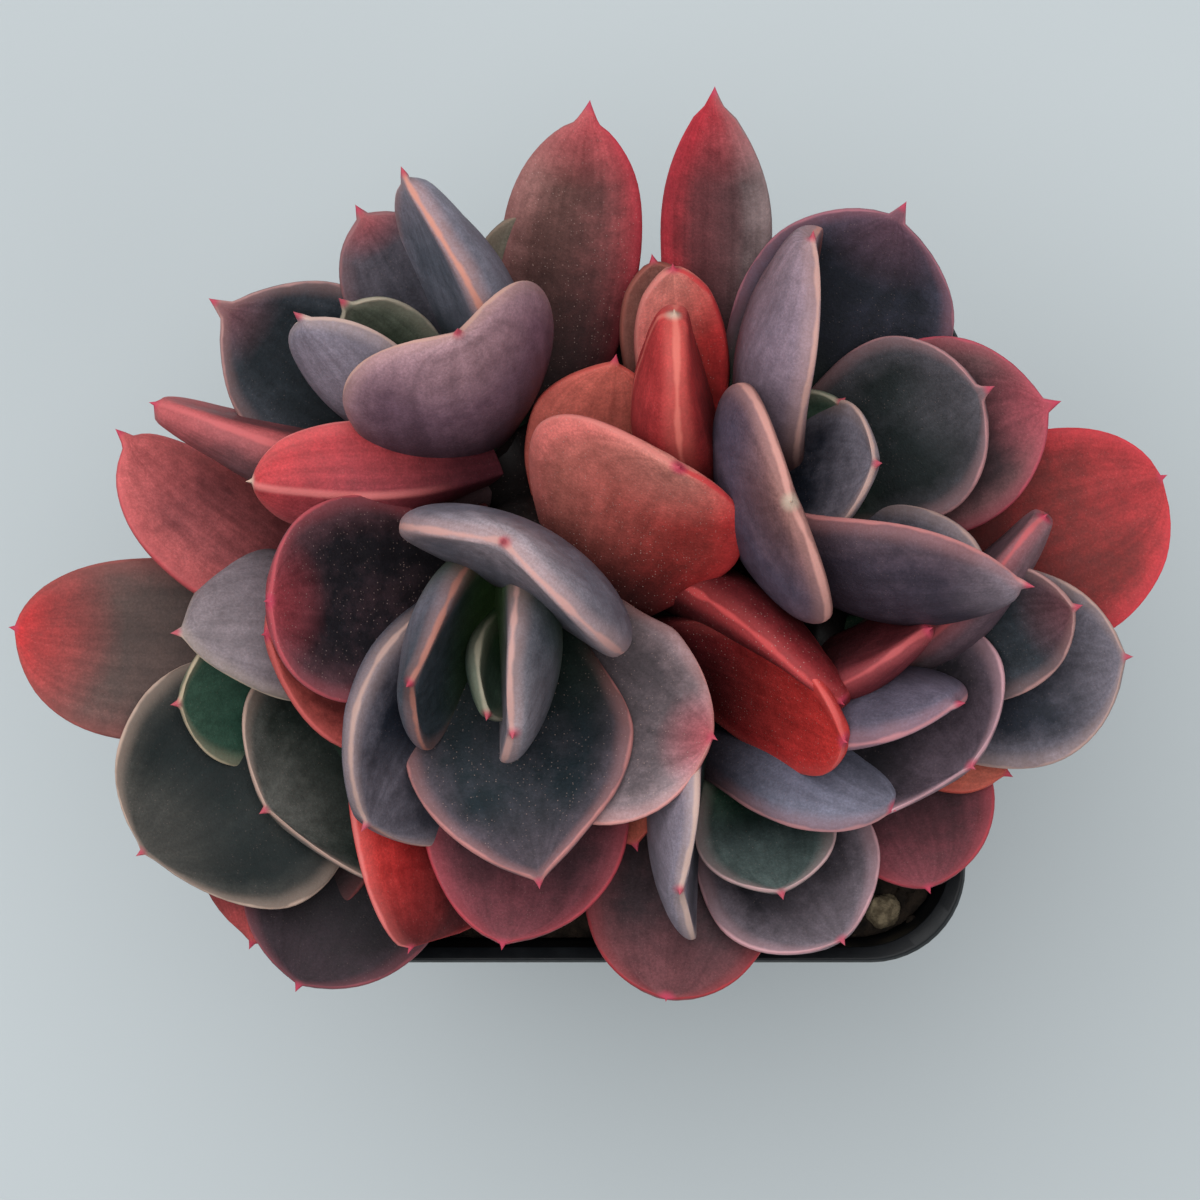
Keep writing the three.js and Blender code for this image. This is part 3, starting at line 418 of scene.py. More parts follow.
headShapes = {
    "front": dict(crown=(-11.5, 3, 98), axis=(-0.1, -0.55, 0.83), root=(-7, 5), leaves=[
        # the closed heart
        leaf((-14.8, -10.3, 109), 8, (0.8, 0.1, 0.5), "heart", drop=0, thick=3.5),
        leaf((-11.8, -11.9, 116), 20, (-0.97, 0.1, 0), "fold", foot=(-13.2, 4.5, 98), cup=0.3, thick=6.5,
             upper=0.3, taper=0.45),
        leaf((-22.9, -6.6, 114), 20, (0.8, -0.4, 0.4), "slateRidge", foot=(-13.8, 4.5, 97), lop=-0.4,
             thick=6, upper=0.3, taper=0.4),
        leaf((-12.5, 8.4, 124), 28, (-0.5, -0.85, 0.12), "ridge", foot=(-11, 5, 92), cup=0.6, bow=0,
             sway=0.05, thick=8, upper=0.4),
        # the dark open leaves
        leaf((-28.4, -22.4, 105), 26, (0.75, -0.15, 0.62), "slate", drop=2, cup=0.3, lop=-0.2, thick=7.5),
        leaf((-9.2, -28.2, 108), 25, (-0.05, -0.05, 1), "bigSlate", drop=1, sway=0.05, taper=0.95,
             widest=0.48),
        leaf((9.9, -12.7, 103), 24, (0.2, 0.1, 1), "dusk", drop=6, cup=-0.1, sway=0.16, lop=0.25, spike=0.9),
        leaf((-37.8, 2.3, 113), 22, (0.1, 0, 1), "charcoal", drop=4, cup=0.2, sway=-0.04, taper=0.38,
             spike=0.8),
        # the older leaves
        leaf((-39, -1.3, 106), 26, (0.1, 0, 1), "salmon", drop=10, cup=0.2, sway=-0.06, lop=-0.25, spike=0.8),
        leaf((-24, -36.6, 97), 25, (0.5, -0.1, 0.85), "redEdge", drop=9, cup=0.3, sway=0.12, lop=-0.6,
             taper=0.4, spike=0.8),
        leaf((-13.5, -35.7, 100.5), 23, (0, -0.1, 1), "mauve", drop=8, cup=0.3, lop=-0.2, spike=1),
        leaf((1.4, -25.6, 94), 12, (0.1, 0, 1), "terra", drop=13, thick=3.5),
        leaf((5.6, 16.5, 112), 26, (-0.3, -0.62, 0.72), "coral", foot=(-4, 2, 91), cup=-0.35, lop=-0.25,
             spike=0.6),
        leaf((-1, 29.5, 98), 16, (0.2, -0.3, 1), "orange", foot=(-5.5, 7, 88), cup=-0.15, taper=0.85),
        leaf((23.6, -8.9, 103), 15, (-0.5, -0.75, 0.1), "maroonKeel", foot=(2.5, 5, 87), thick=7.5,
             upper=0.4, taper=0.4, spike=0.6),
        leaf((23.8, -12.9, 104.5), 17, (-0.42, -0.55, 0.72), "scarlet", foot=(2.5, -3, 87), cup=0.25,
             thick=5, taper=0.48, spike=0.6),
    ]),
    "upper_left": dict(crown=(-16.5, 22, 92), axis=(-0.42, 0.5, 0.75), root=(-11, 16), leaves=[
        leaf((-30.8, 34.8, 105), 10, (0.2, -0.3, 0.9), "paleHeart", drop=0, thick=3, spike=1.8),
        leaf((-35.3, 33, 108), 15, (0.1, 0.95, -0.2), "lavenderFold", drop=1, thick=5.5, spike=1.8),
        leaf((-23.9, 48.4, 108), 19, (-0.88, -0.38, 0.32), "lavenderRidge", drop=2, cup=0.45, thick=7.5,
             upper=0.3, taper=0.8, widest=0.52, spike=2),
        leaf((-17.5, 30.5, 115), 27, (-0.5, 0.75, -0.35), "purpleUnder", foot=(-18.5, 20, 88), cup=0.9,
             taper=0.4, widest=0.7),
        leaf((-45.8, 35.6, 98), 20, (0.1, -0.1, 1), "teal", foot=(-18, 17, 88), cup=0.3, taper=0.8,
             spike=2.4),
        leaf((-29.7, 45.9, 98), 14, (0.1, -0.1, 1), "dusky", drop=5, cup=0.3, spike=1.8),
        leaf((-52, 24, 100), 16, (-0.1, 0.9, 0.25), "rose", foot=(-16, 17, 87), thick=8.5, upper=0.35,
             spike=1),
        leaf((-41, 15.2, 103.5), 13, (0, 0.45, -0.9), "brightKeel", foot=(-16, 18, 93), bow=0.08, thick=6.5,
             keel=0.6, spike=0.8),
        leaf((-3.9, 57.6, 97), 16, (0.05, -0.1, 1), "roseBrown", foot=(-9, 19, 84), cup=-0.35, taper=0.65,
             spike=2.6),
        leaf((-11.5, 47, 91), 13, (0, 0, 1), "olive", foot=(-11, 19, 82)),
        # under and behind the others
        # painted shade: these two hidden hearts take the dark look, near-black as the shade deep in the
        # rosette
        leaf((-21, 27, 105), 8, (-0.4, 0.3, -0.5), "dark", drop=0, thick=3),
        leaf((-26.5, 28, 102), 8, (0.7, 0.2, 0.5), "dark", drop=0, thick=3),
        leaf((-36, 36, 87.5), 14, (0, 0, 1), "charcoal", foot=(-15, 20, 84)),
    ]),
    "upper_right": dict(crown=(16.5, 19, 94), axis=(0.5, 0.25, 0.8), root=(9, 14), leaves=[
        leaf((23.7, 24.3, 103), 9, (-0.3, -0.2, 0.9), "heart", foot=(15, 16, 91), thick=3),
        leaf((27, 16.9, 109), 16, (-0.4, 0.2, 0.9), "slate", foot=(13, 16, 92), thick=3.5),
        leaf((16.8, 12.5, 118), 27, (0.88, 0.3, 0.35), "purpleRidge", foot=(14.5, 13, 89), cup=0.2,
             bow=0.02, thick=7.5, upper=0.4, spike=0.6),
        leaf((19.8, 41.6, 108), 25, (0.93, -0.2, -0.05), "brownUnder", foot=(19.5, 18, 90), thick=8,
             upper=0.22),
        leaf((40.1, 25.7, 101), 21, (-0.15, 0, 1), "bigGreen", foot=(17, 15, 91), cup=0.25, spike=1.8),
        leaf((42.6, 3.8, 112), 21, (0.1, 0.85, -0.4), "plumFold", foot=(14, 12.5, 93), cup=0.6, bow=0.12,
             taper=0.7, spike=1.8),
        leaf((40, 4.5, 102), 12, (0, 0, 1), "slate", foot=(15, 11, 89)),
        leaf((31, 46.4, 97), 24, (-0.1, -0.2, 1), "navy", drop=6, cup=0.25, lop=0.16, taper=0.6, spike=2.2),
        leaf((47.9, 24.3, 98), 22, (0, 0, 1), "brownRose", foot=(17, 13, 88), cup=0.25, bow=0.03, lop=-0.14,
             taper=0.65, spike=1.8),
        leaf((5, 33.2, 109), 16, (0.95, 0.1, 0.1), "redKeel", foot=(9, 13, 92), cup=0.15, thick=9.5,
             upper=0.45, spike=0.8),
        leaf((5.1, 39.2, 100), 10, (0, 0, 1), "coral", foot=(8.5, 14, 84), spike=0.8),
        leaf((3, 41.3, 92), 11, (0, 0, 1), "brown", foot=(9, 14, 82)),
        leaf((9.9, 59.3, 96), 13, (-0.3, 0, 1), "crimsonBrown", foot=(9, 18, 82), cup=-0.3, taper=0.75,
             spike=2.2),
        # under and behind the others
        leaf((33, 36, 87.5), 14, (0, 0, 1), "charcoal", foot=(13, 18, 84)),
    ]),
    "lower_right": dict(crown=(13, -12, 86), axis=(0.15, -0.7, 0.7), root=(9, -10), leaves=[
        leaf((17.4, -30.6, 97), 16, (0, 0.3, 0.95), "tealHeart", drop=0, thick=3),
        leaf((5.8, -29.4, 103), 24, (0.97, -0.07, 0.1), "lavenderFold", foot=(9, -15, 82), thick=6,
             upper=0.35, taper=0.38, widest=0.7),
        leaf((30, -20.9, 96), 17, (0.1, -0.85, -0.5), "blueUnder", foot=(9, -15, 82), cup=0.2, thick=5.5,
             spike=0.6),
        leaf((24.6, -36.2, 93), 21, (0, 0, 1), "greyMauve", drop=3, cup=0.3, sway=0.04, lop=0.15, spike=0.8),
        leaf((4.6, -42.8, 91), 22.5, (0, 0, 1), "darkRedEdge", drop=8, cup=0.2, spike=0.5, taper=0.48),
    ]),
    "right": dict(crown=(24, -2, 90), axis=(0.75, -0.05, 0.66), root=(17, -1), leaves=[
        leaf((49.7, 1.9, 101), 16, (-0.3, -0.2, 0.9), "teal", foot=(24, -6, 88), thick=3.5),
        leaf((46.2, 11.9, 99), 15, (-0.6, 0.78, 0.1), "mauveEdge", foot=(24, -5, 85), bow=0.11, thick=7.5,
             upper=0.45, spike=0.6, taper=0.4),
        leaf((36.5, -8.6, 104), 18, (0.15, -0.95, -0.3), "bluePurple", foot=(20, -12.5, 87), thick=6.5,
             upper=0.35, spike=1.8),
        leaf((56, -3.8, 97), 23, (0, 0, 1), "slate", drop=4, cup=0.25, sway=0.03, lop=0.15),
        leaf((38.5, -16.2, 98), 26, (-0.25, 0.1, 1), "mauveCharcoal", drop=2, cup=0.3, sway=-0.06, lop=0.2,
             spike=0.8),
        leaf((33, -0.5, 104), 14, (-0.6, 0.75, 0.15), "maroon", foot=(18, -6, 89), thick=6, upper=0.4,
             spike=0.8),
        leaf((61.3, 16.6, 90), 25, (0, 0, 1), "crimson", foot=(22, 1, 84), cup=0.2, bow=0.02, lop=0.2,
             taper=0.48, spike=0.8),
        leaf((34.8, -31, 88), 20, (0, 0, 1), "mauve", foot=(21, -5, 80), cup=0.25, sway=-0.07, lop=-0.15,
             spike=0.9),
        leaf((44.2, -17.7, 88), 12, (0, 0, 1), "terra", foot=(22, -5, 82), bow=0),
    ]),
    "left": dict(crown=(-28.5, -7.5, 86), axis=(-0.72, -0.3, 0.62), root=(-17, -5), leaves=[
        leaf((-50.5, -9.2, 95), 18, (0.3, -0.3, 0.9), "deepGreen", drop=1, thick=3.5),
        leaf((-50, -1.2, 98), 19, (-0.35, -0.5, -0.75), "greyUnder", foot=(-27, -3.5, 88), cup=0.5,
             lop=-0.45, taper=0.7, widest=0.5, spike=1.4),
        leaf((-40.8, -21.4, 94), 29, (0.4, 0.4, 0.8), "bloomGreen", foot=(-26, -9, 83), lop=-0.3, thick=4),
        leaf((-54.7, -26.2, 93), 30, (0.1, 0.15, 1), "bigDark", foot=(-27, -8, 85), cup=0.3, bow=0.03,
             sway=0.04, lop=-0.1),
        leaf((-69.4, -0.6, 91), 21, (0, 0, 1), "brownGrey", foot=(-28, -4, 84), cup=0.15, bow=0, lop=-0.2,
             spike=0.8),
        leaf((-57, 21.6, 93), 17, (0.4, 0.5, 0.75), "rosy", foot=(-27, -3, 85), cup=-0.2, bow=0.02,
             lop=-0.25, spike=2),
        leaf((-37.1, -41.7, 91), 24, (0, 0, 1), "dark", drop=8, cup=0.25),
        # painted shade: this leaf's dark colours stand for the shade it lies in
        leaf((-43, -37.6, 86), 20, (0, 0, 1), "shadedRedBit", foot=(-26, -7, 81), bow=-0.02, lop=0.3, thick=4),
        leaf((-53.5, 10, 87), 13, (0, 0, 1), "orange", foot=(-27, -3, 80.5), bow=-0.02, thick=4),
    ]),
}


leafShape = dict(
    footShare=0.42, footCup=0.4, flatCup=0.001,
    swellPower=1.3, endPower=2.2,  # how the outline swells from the foot and closes at the end
    slimFoot=0.8, slimSpan=0.8, endThinning=0.5, endRounding=0.3,
    upperRoundness=0.6, lowerRoundness=0.85, keelSharpness=1.2,
    spikeLength=1.2, spikeHalfWidth=0.55, spikeDepth=0.45, spikeFlare=1.15, spikeBlend=2.5,
    spikeReach=3,  # where its flare ends, in spike lengths
    around=64, steps=48,
    wobble=0.028, wobbleCells=(4.5, 3),  # how far the margin wanders, as a share of the width
    ripple=0.16, rippleCells=(1.6, 3.2), rippleShift=7,  # how far the faces swell and sink
    seedSteps=(11.3, 3.1),  # from leaf to leaf and rosette to rosette
)
stemShape = dict(
    rootZ=52, radius=3.6, sides=24, curl=10, steps=20,
    ringDepth=0.05, ringTurn=70, roughness=0.06, roughCells=9,
    coreRadius=5.8, coreLength=17, coreDrop=9.5, coreDetail=4, footOut=2.5,
)
farGap = 50  # millimetres, too far from a margin to be marked
stemPlace, stemGaps = (0, 0.6, 1), (20, farGap, farGap)  # a plain spot of a leaf's upper face


def squareTo(direction, along):
    return (direction - along * direction.dot(along)).normalized()


def insideBox(point):
    # no margin may wander out of the box that the solids take
    return [clamp(value, low, high) for value, low, high in zip(point, *cadBox)]


def outlineShare(s, taper, widest):
    # the leaf's width at a share of its length
    foot = leafShape["footShare"]
    if s < widest:
        return foot + (1 - foot) * math.sin((math.pi / 2) * (s / widest)) ** leafShape["swellPower"]
    return max(0.0, 1 - ((s - widest) / (1 - widest)) ** leafShape["endPower"]) ** taper


def thicknessShare(s):
    slim = leafShape["slimFoot"]
    swell = math.sin(math.pi * min(1, s / leafShape["slimSpan"]))
    return slim + (1 - slim) * swell - leafShape["endThinning"] * s ** 4


def mixPaint(name, seed):
    # a look's colours, ready for the shader
    look = leafLooks[name]
    core, haze, under = tone(*look["core"]), tone(*look["haze"]), tone(*look["under"])
    right = leafLooks[look.get("right", name)]
    return dict(
        look, core=core, haze=haze, under=under, underHaze=blendTone(under, haze, leafFinish["underShare"]),
        line=tone(*look["line"]), base=tone(*look["base"]), tip=tone(*look["tip"]), end=tone(*look["end"]),
        rightCore=tone(*right["core"]), rightHaze=tone(*right["haze"]), rightLine=tone(*right["line"]),
        traits=Vector((look["specks"], look["keel"], seed)))


class HeadBuilder:
    # one rosette's bmesh with the attributes that the leaf's finish reads
    def __init__(self):
        self.bm = bmesh.new()
        layers = self.bm.verts.layers
        self.place = layers.float_vector.new("leafPlace")
        self.gaps = layers.float_vector.new("leafGaps")
        self.traits = layers.float_vector.new("leafTraits")
        self.tones = {part: layers.float_color.new("tone" + part) for part in toneParts}

    def paint(self, vert, colours, place, gaps):
        # place is across, along and out of the leaf, gaps are to its margin, point and keel
        across, along, out = place
        vert[self.place] = (across, along / colours["baseReach"], out)
        vert[self.gaps] = gaps
        vert[self.traits] = colours["traits"]
        upper = clamp(out * leafFinish["faceBlend"] + 0.5)
        core = blendTone(colours["under"], colours["core"], upper)
        haze = blendTone(colours["underHaze"], colours["haze"], upper)
        line = colours["line"]
        if "right" in colours:
            share = clamp(0.5 - leafFinish["halfBlend"] * (across - colours["split"]))
            core = blendTone(core, colours["rightCore"], share)
            haze = blendTone(haze, colours["rightHaze"], share)
            line = blendTone(line, colours["rightLine"], share)
        flush = clamp(leafFinish["flushStart"] - gaps[1] / colours["endReach"])
        core = blendTone(core, colours["end"], leafFinish["flushCore"] * flush)
        haze = blendTone(haze, colours["end"], flush)
        # painted shade: the core and haze grow darker towards the foot, where the leaves shade each other
        dark = leafFinish["footDarkness"]
        light = dark + (1 - dark) * clamp(along / leafFinish["paintedShadeReach"])
        core, haze = ([part * light for part in colour] for colour in (core, haze))
        for part, colour in zip(toneParts, (core, haze, line, colours["base"], colours["tip"])):
            vert[self.tones[part]] = colour


leafBall = makePattern("leafBall", bmesh.ops.create_uvsphere,
                       u_segments=leafShape["around"], v_segments=leafShape["steps"])


def placeLeaf(head, leaf):
    # the foot, the tip, and the leaf's directions along it, to its side and out of its face
    tip = Vector(leaf["tip"])
    if "foot" in leaf:
        foot = Vector(leaf["foot"])
    else:
        axis, crown = Vector(head["axis"]).normalized(), Vector(head["crown"])
        foot = crown - axis * leaf["drop"] + squareTo(tip - crown, axis) * stemShape["footOut"]
    along = (tip - foot).normalized()
    face = squareTo(Vector(leaf["face"]), along)
    return foot, tip, along, along.cross(face), face


def growLeaf(builder, head, leaf, seed):
    # a ball whose poles become the foot and the point, drawn out into the leaf's shape
    p = leafShape
    foot, tip, along, side, face = placeLeaf(head, leaf)
    whole = (tip - foot).length
    length, halfWidth, above = whole - leaf["spike"], leaf["width"] / 2, leaf["upper"]
    cup, bow, sway = leaf["cup"], leaf["bow"], leaf["sway"]
    colours = mixPaint(leaf["look"], seed)

    for vert in addCopy(builder.bm, leafBall):
        x, y, z = vert.co
        turn = math.atan2(y, x)
        left, rise = math.cos(turn), math.sin(turn)  # 1 at the left margin, 1 on the upper face
        reach = (1 - clamp(z, -1, 1)) / 2 * whole  # millimetres from the foot
        s = reach / length
        inBody = min(s, 1)

        # half the width, and the thickness above and below the margin
        body = halfWidth * outlineShare(inBody, leaf["taper"], leaf["widest"])
        spike = clamp((whole - reach) / p["spikeLength"], 0, p["spikeReach"])
        point = p["spikeHalfWidth"] * spike ** p["spikeFlare"]
        half = (body ** p["spikeBlend"] + point ** p["spikeBlend"]) ** (1 / p["spikeBlend"])
        wobbleAt = Vector((s * p["wobbleCells"][0], math.copysign(p["wobbleCells"][1], left), seed))
        half *= 1 + p["wobble"] * noise.noise(wobbleAt)
        full = clamp(body / (p["endRounding"] * halfWidth)) ** 0.5
        depth = leaf["thick"] * thicknessShare(inBody) * full
        pointDepth = p["spikeDepth"] * min(spike, 1) * (1 - full)
        upper = above * depth + pointDepth
        lower = (1 - above) * depth + pointDepth
        if reach <= 0 or reach >= whole:
            half = upper = lower = 0

        # the middle line, bowed towards the back and swayed to a side
        arch, slope = 4 * inBody * (1 - inBody), 4 * (1 - 2 * inBody)
        centre = foot + along * reach - face * (bow * length * arch) + side * (sway * length * arch)
        tangent = (along - face * (bow * slope) + side * (sway * slope)).normalized()
        up = squareTo(face, tangent)
        across = tangent.cross(up)
        centre += across * (leaf["lop"] * half * inBody)

        # the section, cupped round the middle line
        cupHere = abs(cup) * (p["footCup"] + (1 - p["footCup"]) * inBody)
        bend = math.copysign(max(p["flatCup"], cupHere), cup)
        angle = bend * left
        if rise > 0:
            height = upper * rise ** p["upperRoundness"]
        else:
            rounded = (-rise) ** p["lowerRoundness"]
            ridge = (1 - abs(left)) ** p["keelSharpness"]
            height = -lower * (rounded + (ridge - rounded) * leaf["keel"])
        rippleAt = Vector((left * p["rippleCells"][0], s * p["rippleCells"][1], seed + p["rippleShift"]))
        height += noise.noise(rippleAt) * p["ripple"] * abs(rise) * full
        outX = (half / bend - height) * math.sin(angle)
        outZ = (half / bend) * (1 - math.cos(angle)) + height * math.cos(angle)
        vert.co = insideBox((centre - across * outX + up * outZ) * mm)

        edgeGap = math.hypot(half * (1 - abs(left)), height)
        keelGap = half * abs(left) if rise < 0 else farGap
        tipGap = (vert.co / mm - tip).length
        builder.paint(vert, colours, (left, clamp(s), rise), (edgeGap, tipGap, keelGap))


def growStem(builder, head, seed):
    # a rod that is bent from its root in the soil up into the crown, and the core on top of it
    p = stemShape
    axis, crown = Vector(head["axis"]).normalized(), Vector(head["crown"])
    root = Vector((*head["root"], p["rootZ"]))
    middle = crown - axis * p["curl"]
    rod = bmesh.ops.create_cone(builder.bm, cap_ends=True, segments=p["sides"],
                                radius1=p["radius"], radius2=p["radius"], depth=1)
    edges = {edge for vert in rod["verts"] for edge in vert.link_edges}
    upright = [edge for edge in edges if abs(edge.verts[0].co.z - edge.verts[1].co.z) > 0.5]
    bmesh.ops.subdivide_edges(builder.bm, edges=upright, cuts=p["steps"], use_grid_fill=True)
    # painted shade: the stem and the core are painted near-black, as the shade in the gaps between the leaves
    colours = mixPaint("shadedStem", seed)
    for vert in builder.bm.verts:  # the rod comes first, so these are all its own
        x, y, z = vert.co
        t = clamp(z + 0.5)
        centre = root * (1 - t) ** 2 + middle * (2 * t * (1 - t)) + crown * t ** 2
        tangent = ((middle - root) * (1 - t) + (crown - middle) * t).normalized()
        sideways = squareTo(Vector((1, 0, 0)), tangent)
        forward = tangent.cross(sideways)
        rings = 1 + p["ringDepth"] * math.sin(t * p["ringTurn"])
        rings += p["roughness"] * noise.noise(Vector((x, y, t * p["roughCells"] + seed)))
        vert.co = (centre + (sideways * x + forward * y) * rings) * mm
        builder.paint(vert, colours, stemPlace, stemGaps)

    ball = bmesh.ops.create_icosphere(builder.bm, subdivisions=p["coreDetail"], radius=1)
    turn = Vector((0, 0, 1)).rotation_difference(axis).to_matrix()
    size = Vector((p["coreRadius"], p["coreRadius"], p["coreLength"] / 2))
    for vert in ball["verts"]:
        vert.co = (crown - axis * p["coreDrop"] + turn @ (vert.co * size)) * mm
        builder.paint(vert, colours, stemPlace, stemGaps)


def makeHead(name, head, material):
    builder = HeadBuilder()
    growStem(builder, head, len(name))
    leafStep, headStep = leafShape["seedSteps"]
    for index, one in enumerate(head["leaves"]):
        growLeaf(builder, head, one, leafStep * index + headStep * len(name))
    bmesh.ops.recalc_face_normals(builder.bm, faces=builder.bm.faces)
    return finishPiece(builder.bm, "leaves_" + name, material, "rosette_" + name)


# The pot: a thin square nursery pot, drawn up ring by ring, in millimetres

potShape = dict(
    baseSide=58, footChamfer=1.2, footFlare=0.3, wall=0.8,
    shoulderSide=75.6, shoulderZ=68, neckZ=70.4, neckSide=78,
    lipDrop=5, edgeRound=0.8, cornerShare=0.1375, cornerSteps=12,
    softWidth=0.25, softSteps=3, softAngle=28,
    drainRadius=3.5, drainSpread=17, drainSides=40, drainCut=8,
    plasticTone=(9, 13, 17), dustTone=(40, 46, 50),
    dustGrain=(160, 6, 0.65), fineGrain=(4200,), dustShare=(0.45, 0.75, 0, 0.2),
    roughness=(0.35, 0.7, 0.46, 0.58), specular=0.3, relief=(0.4, 0.6), bump=(0.25, 0.0002),
)


def makePotMaterial():
    material, tree, shader, place = newMaterial("blackPlastic")
    p = potShape
    dust, fine = grain(tree, place, *p["dustGrain"]), grain(tree, place, *p["fineGrain"])
    share = fade(tree, dust, *p["dustShare"])
    plugAll(tree, shader, {
        "Base Color": mixTones(tree, share, tone(*p["plasticTone"]), tone(*p["dustTone"])),
        "Roughness": fade(tree, dust, *p["roughness"]), "Specular IOR Level": p["specular"],
        "Normal": bumps(tree, (fine, dust), p["relief"], *p["bump"]),
    })
    return material


def cutDrains(piece):
    # four round holes through the floor
    p = potShape
    radius = p["drainRadius"] * mm
    bm = bmesh.new()
    for sx in (-1, 1):
        for sy in (-1, 1):
            place = Matrix.Translation(Vector((sx, sy, 0)) * p["drainSpread"] * mm)
            bmesh.ops.create_cone(bm, cap_ends=True, segments=p["drainSides"], radius1=radius,
                                  radius2=radius, depth=p["drainCut"] * mm, matrix=place)
    cutter = addObject("drainCutter", meshFrom(bm, "drainCutter"))
    cut = piece.modifiers.new("drains", "BOOLEAN")
    cut.object = cutter
    cut.solver = "EXACT"
    bpy.context.view_layer.update()
    done = bpy.data.meshes.new_from_object(piece.evaluated_get(bpy.context.evaluated_depsgraph_get()))
    piece.modifiers.remove(cut)
    piece.data = done
    bpy.data.objects.remove(cutter)


def makePot(material):
    p = potShape
    low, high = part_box("pot")
    rimSide, height = (high.x - low.x) / mm, high.z / mm
    neck, neckZ, wall, soften = p["neckSide"], p["neckZ"], p["wall"], p["edgeRound"]
    lipZ = height - p["lipDrop"]
    innerFoot = p["baseSide"] + (p["shoulderSide"] - p["baseSide"]) * 2 * wall / p["shoulderZ"] - 2 * wall
    profile = [  # side and height of each ring, up the outside and down the inside
        (p["baseSide"] + p["footFlare"], p["footChamfer"]),
        (p["shoulderSide"], p["shoulderZ"]),
        (neck, neckZ),
        (neck, lipZ),
        (rimSide - soften, lipZ),
        (rimSide, lipZ + soften),
        (rimSide, height - soften),
        (rimSide - soften, height),
        (neck + soften, height),
        (neck - 2 * wall, height - soften),
        (neck - 2 * wall, neckZ),
        (p["shoulderSide"] - 2 * wall, p["shoulderZ"]),
        (innerFoot, 2 * wall),
    ]
    bm = bmesh.new()
    foot, first = p["baseSide"] - 2 * p["footChamfer"], p["footChamfer"]
    bmesh.ops.create_cube(bm, size=1)
    for vert in bm.verts:
        vert.co = Vector((vert.co.x * foot, vert.co.y * foot, (vert.co.z + 0.5) * first))
    upright = [edge for edge in bm.edges if abs(edge.verts[0].co.z - edge.verts[1].co.z) > first / 2]
    bmesh.ops.bevel(bm, geom=upright, offset=foot * p["cornerShare"], offset_type="OFFSET",
                    segments=p["cornerSteps"], profile=0.5, affect="EDGES", material=-1)
    bm.faces.ensure_lookup_table()
    top = max(bm.faces, key=lambda face: face.calc_center_median().z)
    sideNow, started = foot, False
    for side, z in profile:
        if started:
            grown = bmesh.ops.extrude_face_region(bm, geom=[top])
            bmesh.ops.delete(bm, geom=[top], context="FACES_ONLY")
            top = next(part for part in grown["geom"] if isinstance(part, bmesh.types.BMFace))
        for vert in top.verts:
            vert.co.x *= side / sideNow
            vert.co.y *= side / sideNow
            vert.co.z = z
        sideNow, started = side, True
    bmesh.ops.recalc_face_normals(bm, faces=bm.faces)
    bmesh.ops.scale(bm, vec=(mm, mm, mm), verts=bm.verts)
    pot = finishPiece(bm, "nurseryPot", material, "pot")
    cutDrains(pot)
    soft = pot.modifiers.new("softEdges", "BEVEL")
    soft.width = p["softWidth"] * mm
    soft.segments = p["softSteps"]
    soft.limit_method = "ANGLE"
    soft.angle_limit = math.radians(p["softAngle"])
    return pot


# The soil: crumbly peat with loose crumbs, and the pale grit on it

soilShape = dict(
    level=73, lumpHeight=1.3, lumpSpan=(11.4, 13.4), lumpPhase=1, moundSpan=(27, 20), moundShare=0.6,
    fineHeight=0.55, fineScale=0.55, fineLayer=3, fineLevels=(0.9, 2.1, 5), clearance=0.3, cells=150,
    crumbs=520, crumbSize=(0.5, 1.5), crumbInset=2, crumbWide=(0.7, 1.3), crumbTall=(0.5, 0.9),
    crumbShare=(0.6, 1), crumbSink=0.25, crumbRough=0.35, crumbCells=1.3, crumbPhase=(0, 50),
    crumbDetail=2,
    paleShare=0.07, paleness=0.55, seed=5,
    dampTone=(20, 18, 16), dryTone=(56, 46, 38), fibreTone=(84, 70, 54), paleTone=(120, 104, 82),
    lumpGrain=(260, 6, 0.7), fibreGrain=(1500, 4, 0.75), dryShare=(0.35, 0.7),
    fibreShare=(0.62, 0.72, 0, 0.5), roughness=0.95, specular=0.2, relief=(1, 0.6), bump=(0.7, 0.0006),
)


def soilHeight(x, y):
    # the same lumps and mounds as the solid, with finer crumbs on them
    p, turn = soilShape, 2 * math.pi
    edge = max(abs(x), abs(y)) / (potShape["neckSide"] / 2 - potShape["wall"])
    lumps = math.sin(turn * x / p["lumpSpan"][0] + p["lumpPhase"]) * math.cos(turn * y / p["lumpSpan"][1])
    mounds = math.sin(turn * x / p["moundSpan"][0] - turn * y / p["moundSpan"][1])
    fine = noise.fractal(Vector((x * p["fineScale"], y * p["fineScale"], p["fineLayer"])), *p["fineLevels"])
    lumpy = p["lumpHeight"] * (lumps + p["moundShare"] * mounds) * (1 - min(1, edge) ** 4)
    return p["level"] + lumpy + p["fineHeight"] * fine


def makeSoilMaterial():
    material, tree, shader, place = newMaterial("dampPeat")
    p = soilShape
    lumps, fibres = grain(tree, place, *p["lumpGrain"]), grain(tree, place, *p["fibreGrain"])
    shade = readAttribute(tree, "crumbShade", "Fac")
    colour = mixTones(tree, fade(tree, lumps, *p["dryShare"]), tone(*p["dampTone"]), tone(*p["dryTone"]))
    colour = mixTones(tree, fade(tree, fibres, *p["fibreShare"]), colour, tone(*p["fibreTone"]))
    colour = mixTones(tree, shade, colour, tone(*p["paleTone"]))
    plugAll(tree, shader, {
        "Base Color": colour, "Roughness": p["roughness"], "Specular IOR Level": p["specular"],
        "Normal": bumps(tree, (lumps, fibres), p["relief"], *p["bump"]),
    })
    return material


